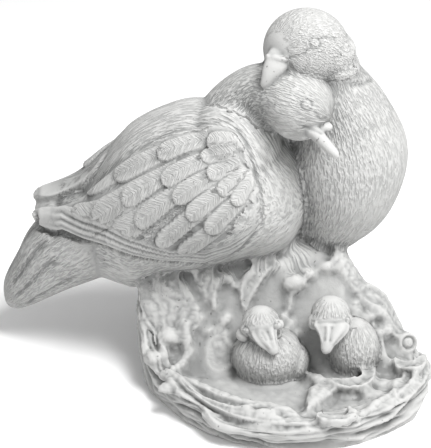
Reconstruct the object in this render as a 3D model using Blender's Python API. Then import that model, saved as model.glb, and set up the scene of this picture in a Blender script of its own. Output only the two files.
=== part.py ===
"""Pair of doves on a nest mound, a garden figure cast in one piece of stone.

Two doves, a leafy nest mound and two chicks are one casting, so they are one solid.
The free form is drawn in millimetres from the middle of the round foot, +X to the right
and +Y to the back, for a figure DRAWN_HEIGHT high. It is scaled to STATUE_HEIGHT at the end.
Each form is a closed shell. The shells are fused, smoothed, carved and faceted.
"""

import math

import bmesh
import bpy
import numpy as np
from mathutils import Matrix, Vector, noise

# Driving sizes, in metres
STATUE_HEIGHT = 0.270
FOOT_RADIUS = 0.100
WING_STEP = 0.0045
FEATHER_RELIEF = 0.0021
TAIL_GROOVE = 0.0022
LEAF_THICKNESS = 0.0045
TWIG_RADIUS = 0.0034
EYE_RADIUS = 0.0036
CHICK_EYE_RADIUS = 0.0026
BARK_RELIEF = 0.0035
FUSE_GRAIN = 0.0018
SOFTENING = 2
FACET_LIMIT = 9600

# Facets stay finer about the eyes: their share of coarseness there, and where that ends in eye sizes
EYE_COARSENESS = 0.5
EYE_REACH = (1.4, 2.2)

# The drawing's millimetre in metres, and the sizes above in the drawing's millimetres
DRAWN_HEIGHT = 270.0
MM = STATUE_HEIGHT / DRAWN_HEIGHT
FOOT = FOOT_RADIUS / MM
STEP = WING_STEP / MM
RELIEF = FEATHER_RELIEF / MM
GROOVE = TAIL_GROOVE / MM
LEAF = LEAF_THICKNESS / MM
TWIG = TWIG_RADIUS / MM
EYE = EYE_RADIUS / MM
CHICK_EYE = CHICK_EYE_RADIUS / MM
BARK = BARK_RELIEF / MM
GRAIN = FUSE_GRAIN / MM

# The foot's middle, seen from the middle of the whole figure's box, in drawing millimetres
FOOT_MIDDLE = (55.2, -23.75)

# Fillets in the creases, and how strongly the nest is softened
FILLET = 2.2
NEST_FILLET = 2.4
NEST_SOFTENING = 2

# Strands and lumps of the nest's surface, and ridges on the chicks' bills
CAST_COARSE = 0.6
CAST_COARSE_SIZE = 9.0
CAST_FINE = 0.3
CAST_FINE_SIZE = 4.0
CAST_RISE = 0.6
CAST_CREASE = 2.2
STRAND_WAVE = (1.5, 0.03)
STRAND = (1.9, 0.15)
STRAND_SHARPNESS = 3.0
STRAND_SWAY = 2.4
STRAND_SHARE = 0.7
FIBRE = (4.5, 0.42)
FIBRE_SWAY = 3.0
FIBRE_SHARE = 0.6
RAGGED_EDGE = (9.0, 0.16)
RAGGED_SHARE = 0.45
STRAND_SUNK = 0.3
BILL_RIDGE = 0.45
BILL_RIDGES = 7

# Stations of the forms: x, y, z, half width, half height
LOWER_BODY = [
    (11, 34, 126, 4, 5), (8, 34, 127, 16, 20), (1, 34, 129, 28, 36), (-8, 34, 131, 36, 44),
    (-20, 36, 134, 44, 50), (-39, 38, 137, 51, 57), (-68, 40, 134.5, 53, 64),
    (-92, 42, 128, 50, 63), (-111, 44, 117, 46, 63), (-122, 45, 112, 42, 56.5),
    (-132, 47, 106, 37, 48), (-144, 50, 97, 31, 37), (-156, 52, 90, 25, 25), (-163, 53, 86, 10, 10),
]
LOWER_NECK = [
    (-52, 42, 150, 32, 34), (-46, 43, 172, 26.5, 28), (-37, 42, 191, 24, 24), (-23, 37, 205, 21, 22),
    (-9, 27, 208, 22, 22), (4, 15, 207, 24, 23), (14, 8, 205, 20, 19), (21, 4, 203, 12, 12),
    (25, 2, 202, 3, 3),
]
LOWER_BEAK = [
    (6, 2, 200, 5, 5), (12, -4, 196.5, 5.2, 5), (17, -9, 193, 4.8, 4.4), (22, -14, 189, 4, 3.8),
    (26.5, -17.5, 185.5, 3, 3), (29, -18.3, 182.5, 1.4, 1.4),
]
LOWER_TAIL = [
    (-122, 47, 104, 32, 32), (-144, 50, 91, 33, 33), (-167, 55, 73.5, 30, 29), (-183, 60, 56, 26, 22),
    (-197, 63, 40.5, 21, 16), (-204, 64, 32.5, 17, 11), (-209, 65, 28.5, 8, 4),
]
LOWER_MANTLE = [
    (-24, 37, 136, 48, 52), (-39, 38, 138, 53, 55), (-68, 40, 138, 53, 55), (-92, 42, 130, 51, 54),
    (-111, 44, 121, 47, 53), (-122, 45, 115, 43, 49), (-132, 47, 110, 40, 44),
    (-144, 50, 105, 35, 35.5), (-155, 52, 104, 29, 27), (-166, 54, 104, 23, 21),
    (-176, 56, 105, 17, 16), (-183, 57, 106, 13, 12), (-187, 57, 106, 6, 8),
]
UPPER_BREAST = [
    (12, 38, 241, 3, 3), (17, 38, 236, 22, 19), (21, 39, 226, 24, 20), (25, 42, 211, 27, 28),
    (34, 46, 186, 36, 36), (40, 47, 158, 43.5, 41), (39, 48, 130, 38.5, 40), (31, 52, 105, 28, 33),
    (26, 56, 87, 17, 21), (25, 57, 80, 6, 8),
]
UPPER_BACK = [
    (39, 42, 152, 30, 34), (38, 56, 148, 39, 42), (35, 76, 134, 40, 40), (29, 97, 115, 35, 33),
    (22, 116, 97, 26, 24), (15, 129, 83, 18, 15), (10, 137, 73, 8, 6),
]
UPPER_TAIL = [
    (22, 108, 98, 16, 12), (15, 124, 83, 19, 10), (9, 138, 68, 20, 8), (5, 147, 57, 18, 6),
    (4, 150, 52, 8, 2),
]
UPPER_BEAK = [
    (-8, 23, 243, 7, 5), (-10, 20, 240.5, 8, 5), (-12.5, 16.5, 236, 7.8, 5),
    (-15.5, 14.5, 231, 6.6, 4.2), (-18.3, 13.5, 225.5, 4.6, 3.4), (-20.2, 13.6, 222.3, 3.2, 2.6),
    (-20.8, 14, 220.8, 1.4, 1.2),
]
UPPER_CERE = [
    (-18.8, 20.5, 240.4, 1, 1), (-17.5, 18, 240.8, 2.2, 2.2), (-15.5, 16.6, 241, 1.5, 1.5),
    (-13, 15.3, 241.2, 2.2, 2.1), (-8, 14.3, 241, 2.2, 2.1), (-4.8, 15, 240.6, 1.8, 1.8),
    (-3.3, 17, 240.2, 0.8, 0.8),
]
# Balls: middle, half sizes along x, y and z
UPPER_HEAD = ((8.8, 37, 239.5), (29.5, 26, 28))
LOWER_CHEEK = ((4, 13, 206), (23, 22, 23))
LOWER_CERE = ((21, -3, 198.5), (5, 4, 3.2))
BETWEEN_BREASTS = ((6, 52, 132), (28, 28, 64))
BETWEEN_NECKS = ((-1, 48, 182), (22, 20, 26))
BETWEEN_TIPS = ((-166, 56, 108), (19, 14, 9))
UPPER_SHOULDER = ((35, 62, 164), (34, 26, 30))
LOWER_SHOULDER = ((-42, 28, 163), (36, 34, 42))
UPPER_CHEEK = ((19, 38, 236), (24.5, 23, 18.5))
UPPER_NAPE = ((28.5, 39, 226), (18, 21, 12))
SOFT_BALLS = [
    UPPER_HEAD, UPPER_CHEEK, UPPER_NAPE, UPPER_SHOULDER, LOWER_CHEEK, LOWER_SHOULDER,
    BETWEEN_BREASTS, BETWEEN_NECKS, BETWEEN_TIPS,
]
CHICK_BODIES = [((-16, -26, 32), (25, 22, 22)), ((45, -17, 33), (18, 20, 23))]
CHICK_HEADS = [((-21.5, -28, 60), (13.5, 13, 12.5)), ((27.5, -21, 63), (14, 13.5, 13.5))]
CHICK_CHEEKS = [
    ((-31.5, -32, 58), (4.5, 4.5, 4)), ((-34, -30, 52), (5, 5, 5)), ((-10, -33, 62), (4.5, 4, 4)),
    ((16, -26, 60), (5, 5, 6)), ((38, -26, 62), (4.5, 4.5, 5)), ((0, -26, 28), (13, 14, 15)),
]
CHICK_BEAKS = [
    [(-21, -33, 63, 7, 6), (-20, -38, 59, 9, 4.5), (-17.5, -42, 55, 7.5, 4), (-14.5, -44.5, 51, 5, 3.5),
     (-12.4, -46, 47.5, 3.6, 3), (-11.8, -46.5, 45.5, 1.5, 1.5)],
    [(27, -28, 64, 12, 6), (27, -34, 60, 12.5, 5), (26, -38.5, 56, 8.5, 4.5), (24.5, -42, 52, 5.2, 4),
     (23.4, -44.5, 48, 3.8, 3.2), (23, -45, 45.5, 1.6, 1.6)],
]

# Hill height along x at the back of the nest, nest floor and rim
HILL_X = (-112, -105, -85, -60, 0, 37, 51, 70, 81, 96, 112)
HILL_Z = (66, 72, 82, 89, 97, 87, 63, 46, 27, 9, 6)
NEST_FLOOR = 18.0
RIM_RISE = 5.0
RIM_RADIUS = 103.0
RIM_TURNS = (-180, -150, -120, -90, -60, -35, -10, 5, 25, 45, 70, 100, 140, 165, 180)
RIM_REACH = (108, 101, 102, 104, 106, 107, 102, 95, 90, 97, 102, 103, 105, 109, 108)
HILL_FRONT_Y = -34.0
HILL_CREST_Y = 26.0
BACK_SLOPE = 0.56
BACK_RIM = 12.0
FOOT_CENTRE_Y = 5.0
WALL_SHARE = 0.35
BELOW_GROUND = 8.0
GROUND_SNAP = 0.02

# Wing edges: distance behind the shoulder, and angles of the lower and upper edge about the back
WING_ALONG = (0, 8, 20, 37, 60, 81, 105, 116, 139, 163)
WING_LOWER = (206, 212, 222, 231, 222, 206, 188, 182, 176, 200)
WING_UPPER = (140, 128, 120, 118, 119, 122, 123, 125, 134, 140)
WING_UPPER_FAR = (140, 128, 120, 118, 119, 118, 96, 80, 74, 60)
WING_LENGTH = 163.0
UPPER_WING = {"start": 20.0, "length": 104.0, "step": STEP * 0.6}
WING_FRONT_ROUND = 0.13
WING_REAR_ROUND = 0.09
WING_UPPER_STEP = 1.0
WING_LIFT_SHARE = 0.3
WING_THICKNESS = 12.0
STREAK_PITCH = 4.2
STREAK_BAND = 15.0
STREAK_HEIGHT = 0.6
WING_MOAT = 3.0
WING_MOAT_WIDTH = 4.5
WING_MOAT_LEAST = 0.3

# Feathers of a wing, in millimetres along and across it: rings of tips about a middle
FEATHER_MIDDLE = (5.0, -35.0)
FEATHER_ROWS = [
    (104, (-1, 11, 21), 46, 11.5), (82, (-2, 9, 21, 38, 53), 42, 9.0),
    (56, (-9, 8, 23, 39, 57), 36, 8.2), (30, (-24, -5, 17, 42, 66), 26, 6.6),
]
FEATHER_EDGE = 1.4
SHAFT = 0.35
FEATHER_STRETCH = 0.16
FEATHER_LEAN = 14.0
LONG_FEATHERS = [(147, -10, 4, 46, 9.5), (130, -15, 8, 46, 9.5)]

TAIL_GROOVE_START = 40.0
TAIL_GROOVE_TURNS = (96.0, 138.0, 166.0, 205.0)

# Leaves over the mound: path of x, y and lift, half width, cup of the edges, ribs, widest place
LEAVES = [
    ([(-108, 14, 3), (-93, 3, 4), (-79, -3, 4), (-63, -8, 3)], 12, -2.0, 7, 0.45),
    ([(-60, -1, 3), (-61, 5, 4), (-62, 13, 5)], 8, 1.5, 5, 0.75),
    ([(-32, -6, 4), (-31, 0, 5), (-24, 5, 6), (-17, 8, 5), (-7, 9, 3)], 4.5, 2.0, 1, 0.35),
    ([(30, 13, 3), (40, 17, 6), (50, 18, 6), (58, 13, 4)], 10, -2.5, 6, 0.5),
    ([(50, 8, 4), (62, 12, 7), (74, 10, 7), (83, 2, 4)], 10, 2.5, 3, 0.5),
    ([(46, 2, 3), (55, 3, 4), (66, 7, 3)], 4, 1.5, 1, 0.5),
    ([(74, -20, 3), (80, -32, 4), (89, -34, 5), (95, -20, 4)], 6, 2.5, 1, 0.5),
    ([(26, -43, 3), (36, -53, 5), (49, -50, 5), (60, -30, 3)], 6.5, 3.0, 1, 0.5),
    ([(22, -49, 4), (17, -64, 7), (9, -83, 3)], 8.5, -3.5, 1, 0.25),
    ([(11, -32, 3), (18, -41, 5), (27, -50, 4)], 4, -2.0, 1, 0.5),
    ([(20, -86, 3), (17, -96, 3), (27, -101, 3), (38, -95, 3), (37, -85, 3)], 4, 1.5, 1, 0.5),
]
LEAF_RIB = 1.3
LEAF_LIFT = 2.8
BACK_LEAF_TURNS = (38, 62, 88, 112, 136, 160)
BACK_LEAF_REACH = 0.86
BACK_LEAF_LENGTH = 30.0
BACK_LEAF = (9.0, -1.5, 3, 0.5)

# Twigs: path of x, y and lift, and radius as a share of the twig radius
TWIGS = [
    ([(-54, -4, 2), (-54, 2, 3), (-50, 7, 3), (-44, 7, 3), (-39, 4, 1)], 0.8),
    ([(-1, -5, 1), (0, -1, 2), (1, 3, 3)], 0.6),
    ([(64, -4, 3), (66, -13, 3), (69, -22, 1)], 0.6),
    ([(-76, -5, 3), (-74, -12, 4), (-73, -20, 2)], 1.2),
    ([(-70, -17, 3), (-79, -28, 3), (-88, -39, 2)], 0.9),
    ([(-61, -11, 1), (-52, -10, 1.5), (-44, -12, 1)], 0.5),
    ([(-50, -9, 1), (-44, -6, 3)], 1.0),
    ([(-92, -38, 1), (-73, -52, 2), (-54, -64, 2), (-37, -76, 2), (-20, -80, 2), (3, -90, 1)], 1.5),
    ([(-90, -46, -3), (-70, -62, -2), (-50, -76, -1), (-30, -87, 0), (-8, -94, 0)], 1.3),
    ([(-62, -78, -6), (-44, -90, -7), (-20, -98, -7), (4, -99, -6), (22, -97, -5)], 1.3),
    ([(50, -84, 0), (64, -72, 1), (78, -58, 1), (88, -42, 0)], 1.2),
    ([(44, 2, 2), (50, -3, 3), (57, -11, 2)], 0.7),
]
# Lumps on the mound: x, y, lift and half sizes
LUMPS = [
    (2, 3, 2, 8, 5, 8), (8, 4, 3, 4, 4, 5), (13, 8, 2, 4.5, 3.5, 4.5), (26, 13, 1, 5, 4, 4),
    (-86, -13, 2, 7.5, 7, 7),
    (64, -4, 3, 4, 4, 4), (-5, -7, 1, 4, 3, 3.5), (0, -9, 1, 3.5, 3, 3.5), (4, -12, 1, 3, 3, 3),
    (69, 0, 2, 6, 5, 5), (76, 9, 2, 6, 6, 5), (57, -61, 1, 8, 6, 4), (66, -47, 1, 7, 7, 4.5),
    (75, -50, 1, 6, 8, 4), (67, -69, 0, 8, 5, 4), (-95, -22, 0, 7, 8, 6), (-84, -52, 0, 8, 6, 5),
    (32, -12, 1, 4, 4, 6),
]
ROSETTE = (-51, -20, 1.0)
ROSETTE_RINGS = (8.0, 4.6)
ROSETTE_RING_SHARE = 0.55
ROSETTE_KNOB = (-51, -20, 1.0, 2.2, 2.2, 2.6)
ROLLED_LEAF = (84, -1, 6.0)
ROLLED_LEAF_AXIS = (-0.25, 0.88, -0.4)
ROLLED_LEAF_RADIUS = 7.5
ROLLED_LEAF_LENGTH = 12.0
ROLL_GROOVE = 1.5

# Eyes: middle and radius
EYES = [
    ((13.2, 14, 252), EYE), ((7.6, -6.3, 215.7), EYE), ((-14, 60, 246), EYE), ((2, 34, 216), EYE),
    ((-31.5, -36, 59), CHICK_EYE), ((-10, -37, 63), CHICK_EYE),
    ((16, -31, 61), CHICK_EYE), ((38, -30, 63), CHICK_EYE),
]

# Folds beside the eyes, bills and collar: path, depth and width
FOLDS = [
    ([(16.7, 16, 254.3), (20.9, 17.7, 254.3), (26.4, 20.2, 252.7)], 0.9, 1.3),
    ([(9.3, 12.2, 248.6), (4.1, 11.8, 244.5), (-3.2, 13.4, 241.7)], 0.9, 1.3),
    ([(39.9, 22.2, 217.8), (47.2, 28.2, 216.8), (54.5, 40.6, 214.7)], 1.0, 1.6),
    ([(17.6, -10.5, 197.3), (12.2, -9, 198.8), (6.2, -8.2, 200.7)], 0.9, 1.3),
    ([(21.1, -3.3, 205.1), (16.9, -6.1, 205.6), (14, -7.4, 209.8)], 0.8, 1.3),
    ([(17.9, -34, 64.4), (28.2, -35.4, 65.2), (38.9, -31.9, 64)], 1.0, 1.3),
    ([(-21.1, -42.9, 60.8), (-18.4, -45.8, 57)], 0.9, 1.1),
    ([(-17, -41.5, 60.8), (-14.9, -44.7, 57.1)], 0.9, 1.1),
    ([(22.6, -38.5, 62.2), (22.4, -43.8, 55.7)], 0.9, 1.1),
    ([(27.4, -38.5, 62.3), (25.9, -43.8, 55.8)], 0.9, 1.1),
]

# Stone
STONE_COLOUR = (0.46, 0.46, 0.45, 1.0)
STONE_ROUGHNESS = 0.85


def clear_scene():
    """Remove whatever the file opened with."""
    for item in list(bpy.data.objects):
        bpy.data.objects.remove(item, do_unlink=True)


def smooth_rows(stations, steps):
    """Rows of a Catmull-Rom curve through the stations."""
    rows = np.array(stations, float)
    rows = np.vstack([2 * rows[0] - rows[1], rows, 2 * rows[-1] - rows[-2]])
    share = np.linspace(0, 1, steps, endpoint=False)[:, None]
    spans = []
    for i in range(1, len(rows) - 2):
        before, start, end, after = rows[i - 1:i + 3]
        line = end - before
        bend = 2 * before - 5 * start + 4 * end - after
        twist = 3 * start - before - 3 * end + after
        spans.append(0.5 * (2 * start + line * share + bend * share ** 2 + twist * share ** 3))
    spans.append(rows[-2:-1])
    return np.vstack(spans)


def ease(value, low, high):
    """Smooth step from 0 at low to 1 at high."""
    share = np.clip((value - low) / (high - low), 0, 1)
    return share * share * (3 - 2 * share)


class Loft:
    """A rounded form drawn by ellipses along a smooth spine, square to it or upright across X."""

    def __init__(self, stations, side=(0, 1, 0), steps=8, upright=False):
        rows = smooth_rows(stations, steps)
        self.points = rows[:, :3]
        self.wide = np.maximum(rows[:, 3], 0.5)
        self.high = np.maximum(rows[:, 4], 0.5)
        self.upright = upright
        forward = np.gradient(self.points, axis=0)
        if upright:
            forward[:, 1:] = 0
        self.forward = forward / np.linalg.norm(forward, axis=1)[:, None]
        across = np.array(side, float) - self.forward * (self.forward @ np.array(side, float))[:, None]
        self.side = across / np.linalg.norm(across, axis=1)[:, None]
        self.up = np.cross(self.side, self.forward)
        steps_long = np.abs((np.diff(self.points, axis=0) * self.forward[1:]).sum(1))
        self.along = np.concatenate([[0], np.cumsum(steps_long)])

    def matrix(self, i):
        """Placement of the unit circle of station i."""
        place = np.eye(4)
        place[:3, 0] = self.side[i] * self.wide[i]
        place[:3, 1] = self.up[i] * self.high[i]
        place[:3, 2] = self.forward[i] * min(self.wide[i], self.high[i])
        place[:3, 3] = self.points[i]
        return Matrix(place.tolist())

    def build(self, bm, around=64):
        """Add the form as a closed shell."""
        ring = bmesh.ops.create_circle(bm, cap_ends=True, segments=around, radius=1,
                                       matrix=self.matrix(0))
        edges = list({e for v in ring["verts"] for e in v.link_edges})
        for i in range(1, len(self.points)):
            grown = bmesh.ops.extrude_edge_only(bm, edges=edges)["geom"]
            verts = [g for g in grown if isinstance(g, bmesh.types.BMVert)]
            verts_set = set(verts)
            edges = [g for g in grown if isinstance(g, bmesh.types.BMEdge)
                     and g.verts[0] in verts_set and g.verts[1] in verts_set]
            move = self.matrix(i) @ self.matrix(i - 1).inverted()
            bmesh.ops.transform(bm, matrix=move, verts=verts)
        bmesh.ops.contextual_create(bm, geom=edges)

    def local(self, points):
        """Distance along the spine, angle about it from the side axis, and share of the radius."""
        nearest = np.zeros(len(points), int)
        for start in range(0, len(points), 20000):
            part = points[start:start + 20000]
            axes = 1 if self.upright else 3
            gap = ((part[:, None, :axes] - self.points[None, :, :axes]) ** 2).sum(2)
            nearest[start:start + 20000] = gap.argmin(1)
        offset = points - self.points[nearest]
        ahead = (offset * self.forward[nearest]).sum(1)
        sideways = (offset * self.side[nearest]).sum(1) / self.wide[nearest]
        upward = (offset * self.up[nearest]).sum(1) / self.high[nearest]
        angle = np.arctan2(upward, sideways)
        return self.along[nearest] + ahead, angle, np.hypot(sideways, upward)

    def at(self, along, angle, out=0.0):
        """Point of the surface at a distance along the spine and an angle, moved out by out."""
        row = np.interp(along, self.along, np.arange(len(self.along)))
        low = np.minimum(row.astype(int), len(self.along) - 2)
        share = (row - low)[:, None]

        def between(values):
            if values.ndim == 1:
                values = values[:, None]
            return values[low] * (1 - share) + values[low + 1] * share

        out = np.broadcast_to(out, angle.shape)[:, None]
        side = between(self.side) * (np.cos(angle)[:, None] * (between(self.wide) + out))
        up = between(self.up) * (np.sin(angle)[:, None] * (between(self.high) + out))
        return between(self.points) + side + up


def ball(bm, middle, half_sizes):
    """Closed ellipsoid."""
    place = Matrix.Translation(Vector(middle)) @ Matrix.Diagonal((*half_sizes, 1))
    bmesh.ops.create_icosphere(bm, subdivisions=5, radius=1, matrix=place)


def rim_radius(x, y):
    """Reach of the mound's rim in the direction of a point."""
    turn = np.degrees(np.arctan2(y - FOOT_CENTRE_Y, x))
    return np.interp(turn, RIM_TURNS, RIM_REACH)


def hill_top(x, y):
    """Height of the mound's upper face."""
    crest = np.interp(x, HILL_X, HILL_Z)
    rise = ease(y, HILL_FRONT_Y, HILL_CREST_Y)
    reach = np.hypot(x, y - FOOT_CENTRE_Y) / rim_radius(x, y)
    floor = NEST_FLOOR + RIM_RISE * ease(reach, 0.72, 0.95)
    behind = BACK_SLOPE * np.maximum(y - HILL_CREST_Y, 0)
    crest = np.maximum(crest - behind, BACK_RIM)
    return floor + (crest - floor) * rise


def mound(bm):
    """Round mound: straight foot, slightly overhanging wall and the sloping nest top."""
    verts = bmesh.ops.create_grid(bm, x_segments=70, y_segments=160, size=1)["verts"]
    place = np.array([v.co for v in verts])
    inward = (place[:, 0] + 1) / 2
    turn = (place[:, 1] + 1) * math.pi
    climb = np.clip(inward / WALL_SHARE, 0, 1)
    rim = rim_radius(np.cos(turn), FOOT_CENTRE_Y + np.sin(turn))
    foot = rim * FOOT / RIM_RADIUS
    wall = inward < WALL_SHARE
    radius = np.where(wall, foot + (rim - foot) * ease(climb, 0, 0.8),
                      rim * (1 - inward) / (1 - WALL_SHARE))
    x = radius * np.cos(turn)
    y = FOOT_CENTRE_Y + radius * np.sin(turn)
    top = hill_top(x, y)
    z = np.where(wall, -BELOW_GROUND + (top + BELOW_GROUND) * climb, top)
    for v, px, py, pz in zip(verts, x, y, z):
        v.co = (px, py, pz)
    bmesh.ops.remove_doubles(bm, verts=verts, dist=0.001)
    bmesh.ops.contextual_create(bm, geom=[e for e in bm.edges if e.is_boundary])


class Wing:
    """Where a folded wing lies on its carrier form, and how its edges run."""

    def __init__(self, carrier, near, upper_edge, start=0.0, length=WING_LENGTH, step=STEP):
        self.carrier = carrier
        self.near = near
        self.upper_edge = upper_edge
        self.start = start
        self.size = length / WING_LENGTH
        self.step = step

    def edges(self, along):
        """Angles of the lower and upper edge at a distance from the shoulder."""
        return (np.interp(along, WING_ALONG, WING_LOWER),
                np.interp(along, WING_ALONG, self.upper_edge))

    def local(self, points):
        """Distances along and across the wing and inwards from its edge, in the lower wing's size."""
        along, angle, share = self.carrier.local(points)
        radius = np.interp(along, self.carrier.along, (self.carrier.wide + self.carrier.high) / 2)
        turn = np.degrees(angle if self.near else math.pi - angle) % 360
        along = (along - self.start) / self.size
        low, high = self.edges(along)
        millimetres = math.pi / 180 * radius / self.size
        inward = np.minimum(low - turn, turn - high) * millimetres
        front = WING_FRONT_ROUND * WING_LENGTH
        corner = np.clip(front - along, 0, None)
        rounded = front - np.hypot(corner, np.clip(front - inward, 0, None))
        inward = np.where(along < front, rounded, inward)
        inward = np.minimum(inward, WING_LENGTH - 6 - along)
        inward = np.where((share > 0.9) & (share < 1.35), inward, -99)
        return along, (turn - 180) * millimetres, (low - turn) * millimetres, inward


def wings():
    """The lower bird's two wings and the upper bird's two wings."""
    mantle = Loft(LOWER_MANTLE, upright=True)
    back = Loft(UPPER_BACK, side=(1, 0, 0))
    return [Wing(mantle, True, WING_UPPER), Wing(mantle, False, WING_UPPER_FAR),
            Wing(back, True, WING_UPPER, **UPPER_WING), Wing(back, False, WING_UPPER, **UPPER_WING)]


def rounded_end(share):
    """Width of a rounded end, from nearly 0 at its tip to 1."""
    return np.sqrt(np.clip(1 - (1 - np.clip(share, 0, 1)) ** 2, 0.0004, 1))


def wing(bm, place_on):
    """Folded wing: a patch of the carrier form, standing out by the wing's step at its lower edge."""
    verts = bmesh.ops.create_grid(bm, x_segments=120, y_segments=60, size=1)["verts"]
    place = np.array([v.co for v in verts])
    share = (place[:, 0] + 1) / 2
    across = place[:, 1]
    low, high = place_on.edges(share * WING_LENGTH)
    rounding = rounded_end(share / WING_FRONT_ROUND) * rounded_end((1 - share) / WING_REAR_ROUND)
    angle = np.radians((low + high) / 2 + (low - high) / 2 * across * rounding)
    if not place_on.near:
        angle = math.pi - angle
    lift = place_on.step * ease(share, 0, WING_LIFT_SHARE)
    out = lift - (lift - WING_UPPER_STEP) * ease(-across, 0.1, 0.9)
    along = place_on.start + share * WING_LENGTH * place_on.size
    for v, point in zip(verts, place_on.carrier.at(along, angle, out)):
        v.co = point
    bmesh.ops.recalc_face_normals(bm, faces=bm.faces)
    middle = Vector(place_on.carrier.points[len(place_on.carrier.points) // 3])
    outward = sum((f.normal.dot(f.calc_center_median() - middle)) for f in bm.faces)
    inward = WING_THICKNESS if outward > 0 else -WING_THICKNESS
    bmesh.ops.solidify(bm, geom=bm.faces[:], thickness=inward)


def leaf(bm, path, half_width, cup, ribs, widest):
    """Thick leaf that lies over the mound along a path of x, y and lift."""
    line = smooth_rows(path, 12)
    verts = bmesh.ops.create_grid(bm, x_segments=60, y_segments=30, size=1)["verts"]
    place = np.array([v.co for v in verts])
    share = (place[:, 0] + 1) / 2
    across = place[:, 1]
    row = share * (len(line) - 1)
    count = np.arange(len(line))
    x, y, lift = (np.interp(row, count, line[:, k]) for k in range(3))
    run = np.gradient(line[:, :2], axis=0)
    run /= np.linalg.norm(run, axis=1)[:, None]
    side_x = np.interp(row, count, -run[:, 1])
    side_y = np.interp(row, count, run[:, 0])
    swell = np.sin(math.pi * share ** (math.log(0.5) / math.log(widest))) ** 0.7
    reach = half_width * np.maximum(swell, 0.12) * across
    x = x + side_x * reach
    y = y + side_y * reach
    veins = np.cos(across * math.pi * ribs) if ribs > 1 else -np.exp(-(across / 0.2) ** 2)
    z = hill_top(x, y) + lift + LEAF_LIFT + cup * across ** 2 + LEAF_RIB * veins
    for v, px, py, pz in zip(verts, x, y, z):
        v.co = (px, py, pz)
    sheet = bmesh.ops.extrude_face_region(bm, geom=bm.faces[:], use_keep_orig=True)["geom"]
    under = [g for g in sheet if isinstance(g, bmesh.types.BMVert)]
    bmesh.ops.translate(bm, vec=(0, 0, -LEAF), verts=under)


def twig(bm, path, radius_share):
    """Round twig that lies over the mound along a path of x, y and lift."""
    line = smooth_rows(path, 4)
    radius = TWIG * radius_share
    stations = []
    for i, (x, y, lift) in enumerate(line):
        end = min(i, len(line) - 1 - i)
        width = radius * (0.5, 0.9, 1.0)[min(end, 2)]
        stations.append((x, y, float(hill_top(x, y)) + lift, width, width))
    Loft(stations, side=(0.3, 0.2, 1), steps=3).build(bm, 16)


def lump(bm, x, y, lift, *half_sizes):
    """Rounded lump on the mound."""
    ball(bm, (x, y, float(hill_top(x, y)) + lift), half_sizes)


def rosette_rings():
    """Paths of the rings that lie on the nest floor."""
    x, y, lift = ROSETTE
    turns = np.linspace(0, 2 * math.pi, 25)
    return [[(x + radius * math.cos(t), y + radius * math.sin(t), lift) for t in turns]
            for radius in ROSETTE_RINGS]


def rolled_leaf(bm):
    """Rolled leaf seen end on, at the right edge."""
    x, y, lift = ROLLED_LEAF
    middle = np.array([x, y, float(hill_top(x, y)) + lift])
    half = np.array(ROLLED_LEAF_AXIS) * ROLLED_LEAF_LENGTH / 2
    r = ROLLED_LEAF_RADIUS
    rows = [(*(middle - half), r * 0.8, r * 0.8), (*(middle - half * 0.8), r, r),
            (*(middle + half * 0.8), r, r), (*(middle + half), r * 0.8, r * 0.8)]
    Loft(rows, side=(1, 0, 0), steps=3).build(bm, 32)


def back_leaf_paths():
    """Paths of the plainer leaves on the hidden rim."""
    paths = []
    for turn in BACK_LEAF_TURNS:
        angle = math.radians(turn)
        reach = float(rim_radius(math.cos(angle), FOOT_CENTRE_Y + math.sin(angle))) * BACK_LEAF_REACH
        half_turn = BACK_LEAF_LENGTH / 2 / reach
        paths.append([(reach * math.cos(a), FOOT_CENTRE_Y + reach * math.sin(a), lift)
                      for a, lift in ((angle - half_turn, 1), (angle, 3), (angle + half_turn, 1))])
    return paths


def add_shell(skin, build, *values):
    """Build one closed shell by itself and add it to the skin."""
    bm = bmesh.new()
    build(bm, *values)
    bmesh.ops.recalc_face_normals(bm, faces=bm.faces)
    mesh = bpy.data.meshes.new("shell")
    bm.to_mesh(mesh)
    bm.free()
    skin.from_mesh(mesh)
    bpy.data.meshes.remove(mesh)


def soft_shells():
    """The forms that a fillet joins, as overlapping closed shells."""
    skin = bmesh.new()
    add_shell(skin, mound)
    add_shell(skin, Loft(LOWER_BODY, upright=True).build)
    for stations in (LOWER_NECK, LOWER_TAIL):
        add_shell(skin, Loft(stations).build)
    for stations in (UPPER_BREAST, UPPER_BACK, UPPER_TAIL):
        add_shell(skin, Loft(stations, side=(1, 0, 0)).build)
    for middle, half_sizes in (*SOFT_BALLS, *CHICK_BODIES, *CHICK_HEADS):
        add_shell(skin, ball, middle, half_sizes)
    for place_on in wings():
        add_shell(skin, wing, place_on)
    for row in LEAVES:
        add_shell(skin, leaf, *row)
    for path in back_leaf_paths():
        add_shell(skin, leaf, path, *BACK_LEAF)
    for row in TWIGS:
        add_shell(skin, twig, *row)
    for ring in rosette_rings():
        add_shell(skin, twig, ring, ROSETTE_RING_SHARE)
    for row in (*LUMPS, ROSETTE_KNOB):
        add_shell(skin, lump, *row)
    add_shell(skin, rolled_leaf)
    return skin


def crisp_shells():
    """The bills and the lumps beside them, which meet the heads in a crease."""
    skin = bmesh.new()
    add_shell(skin, Loft(LOWER_BEAK).build, 32)
    for stations in (UPPER_BEAK, UPPER_CERE, *CHICK_BEAKS):
        add_shell(skin, Loft(stations, side=(1, 0, 0)).build, 32)
    for middle, half_sizes in (LOWER_CERE, *CHICK_CHEEKS):
        add_shell(skin, ball, middle, half_sizes)
    return skin


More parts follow.
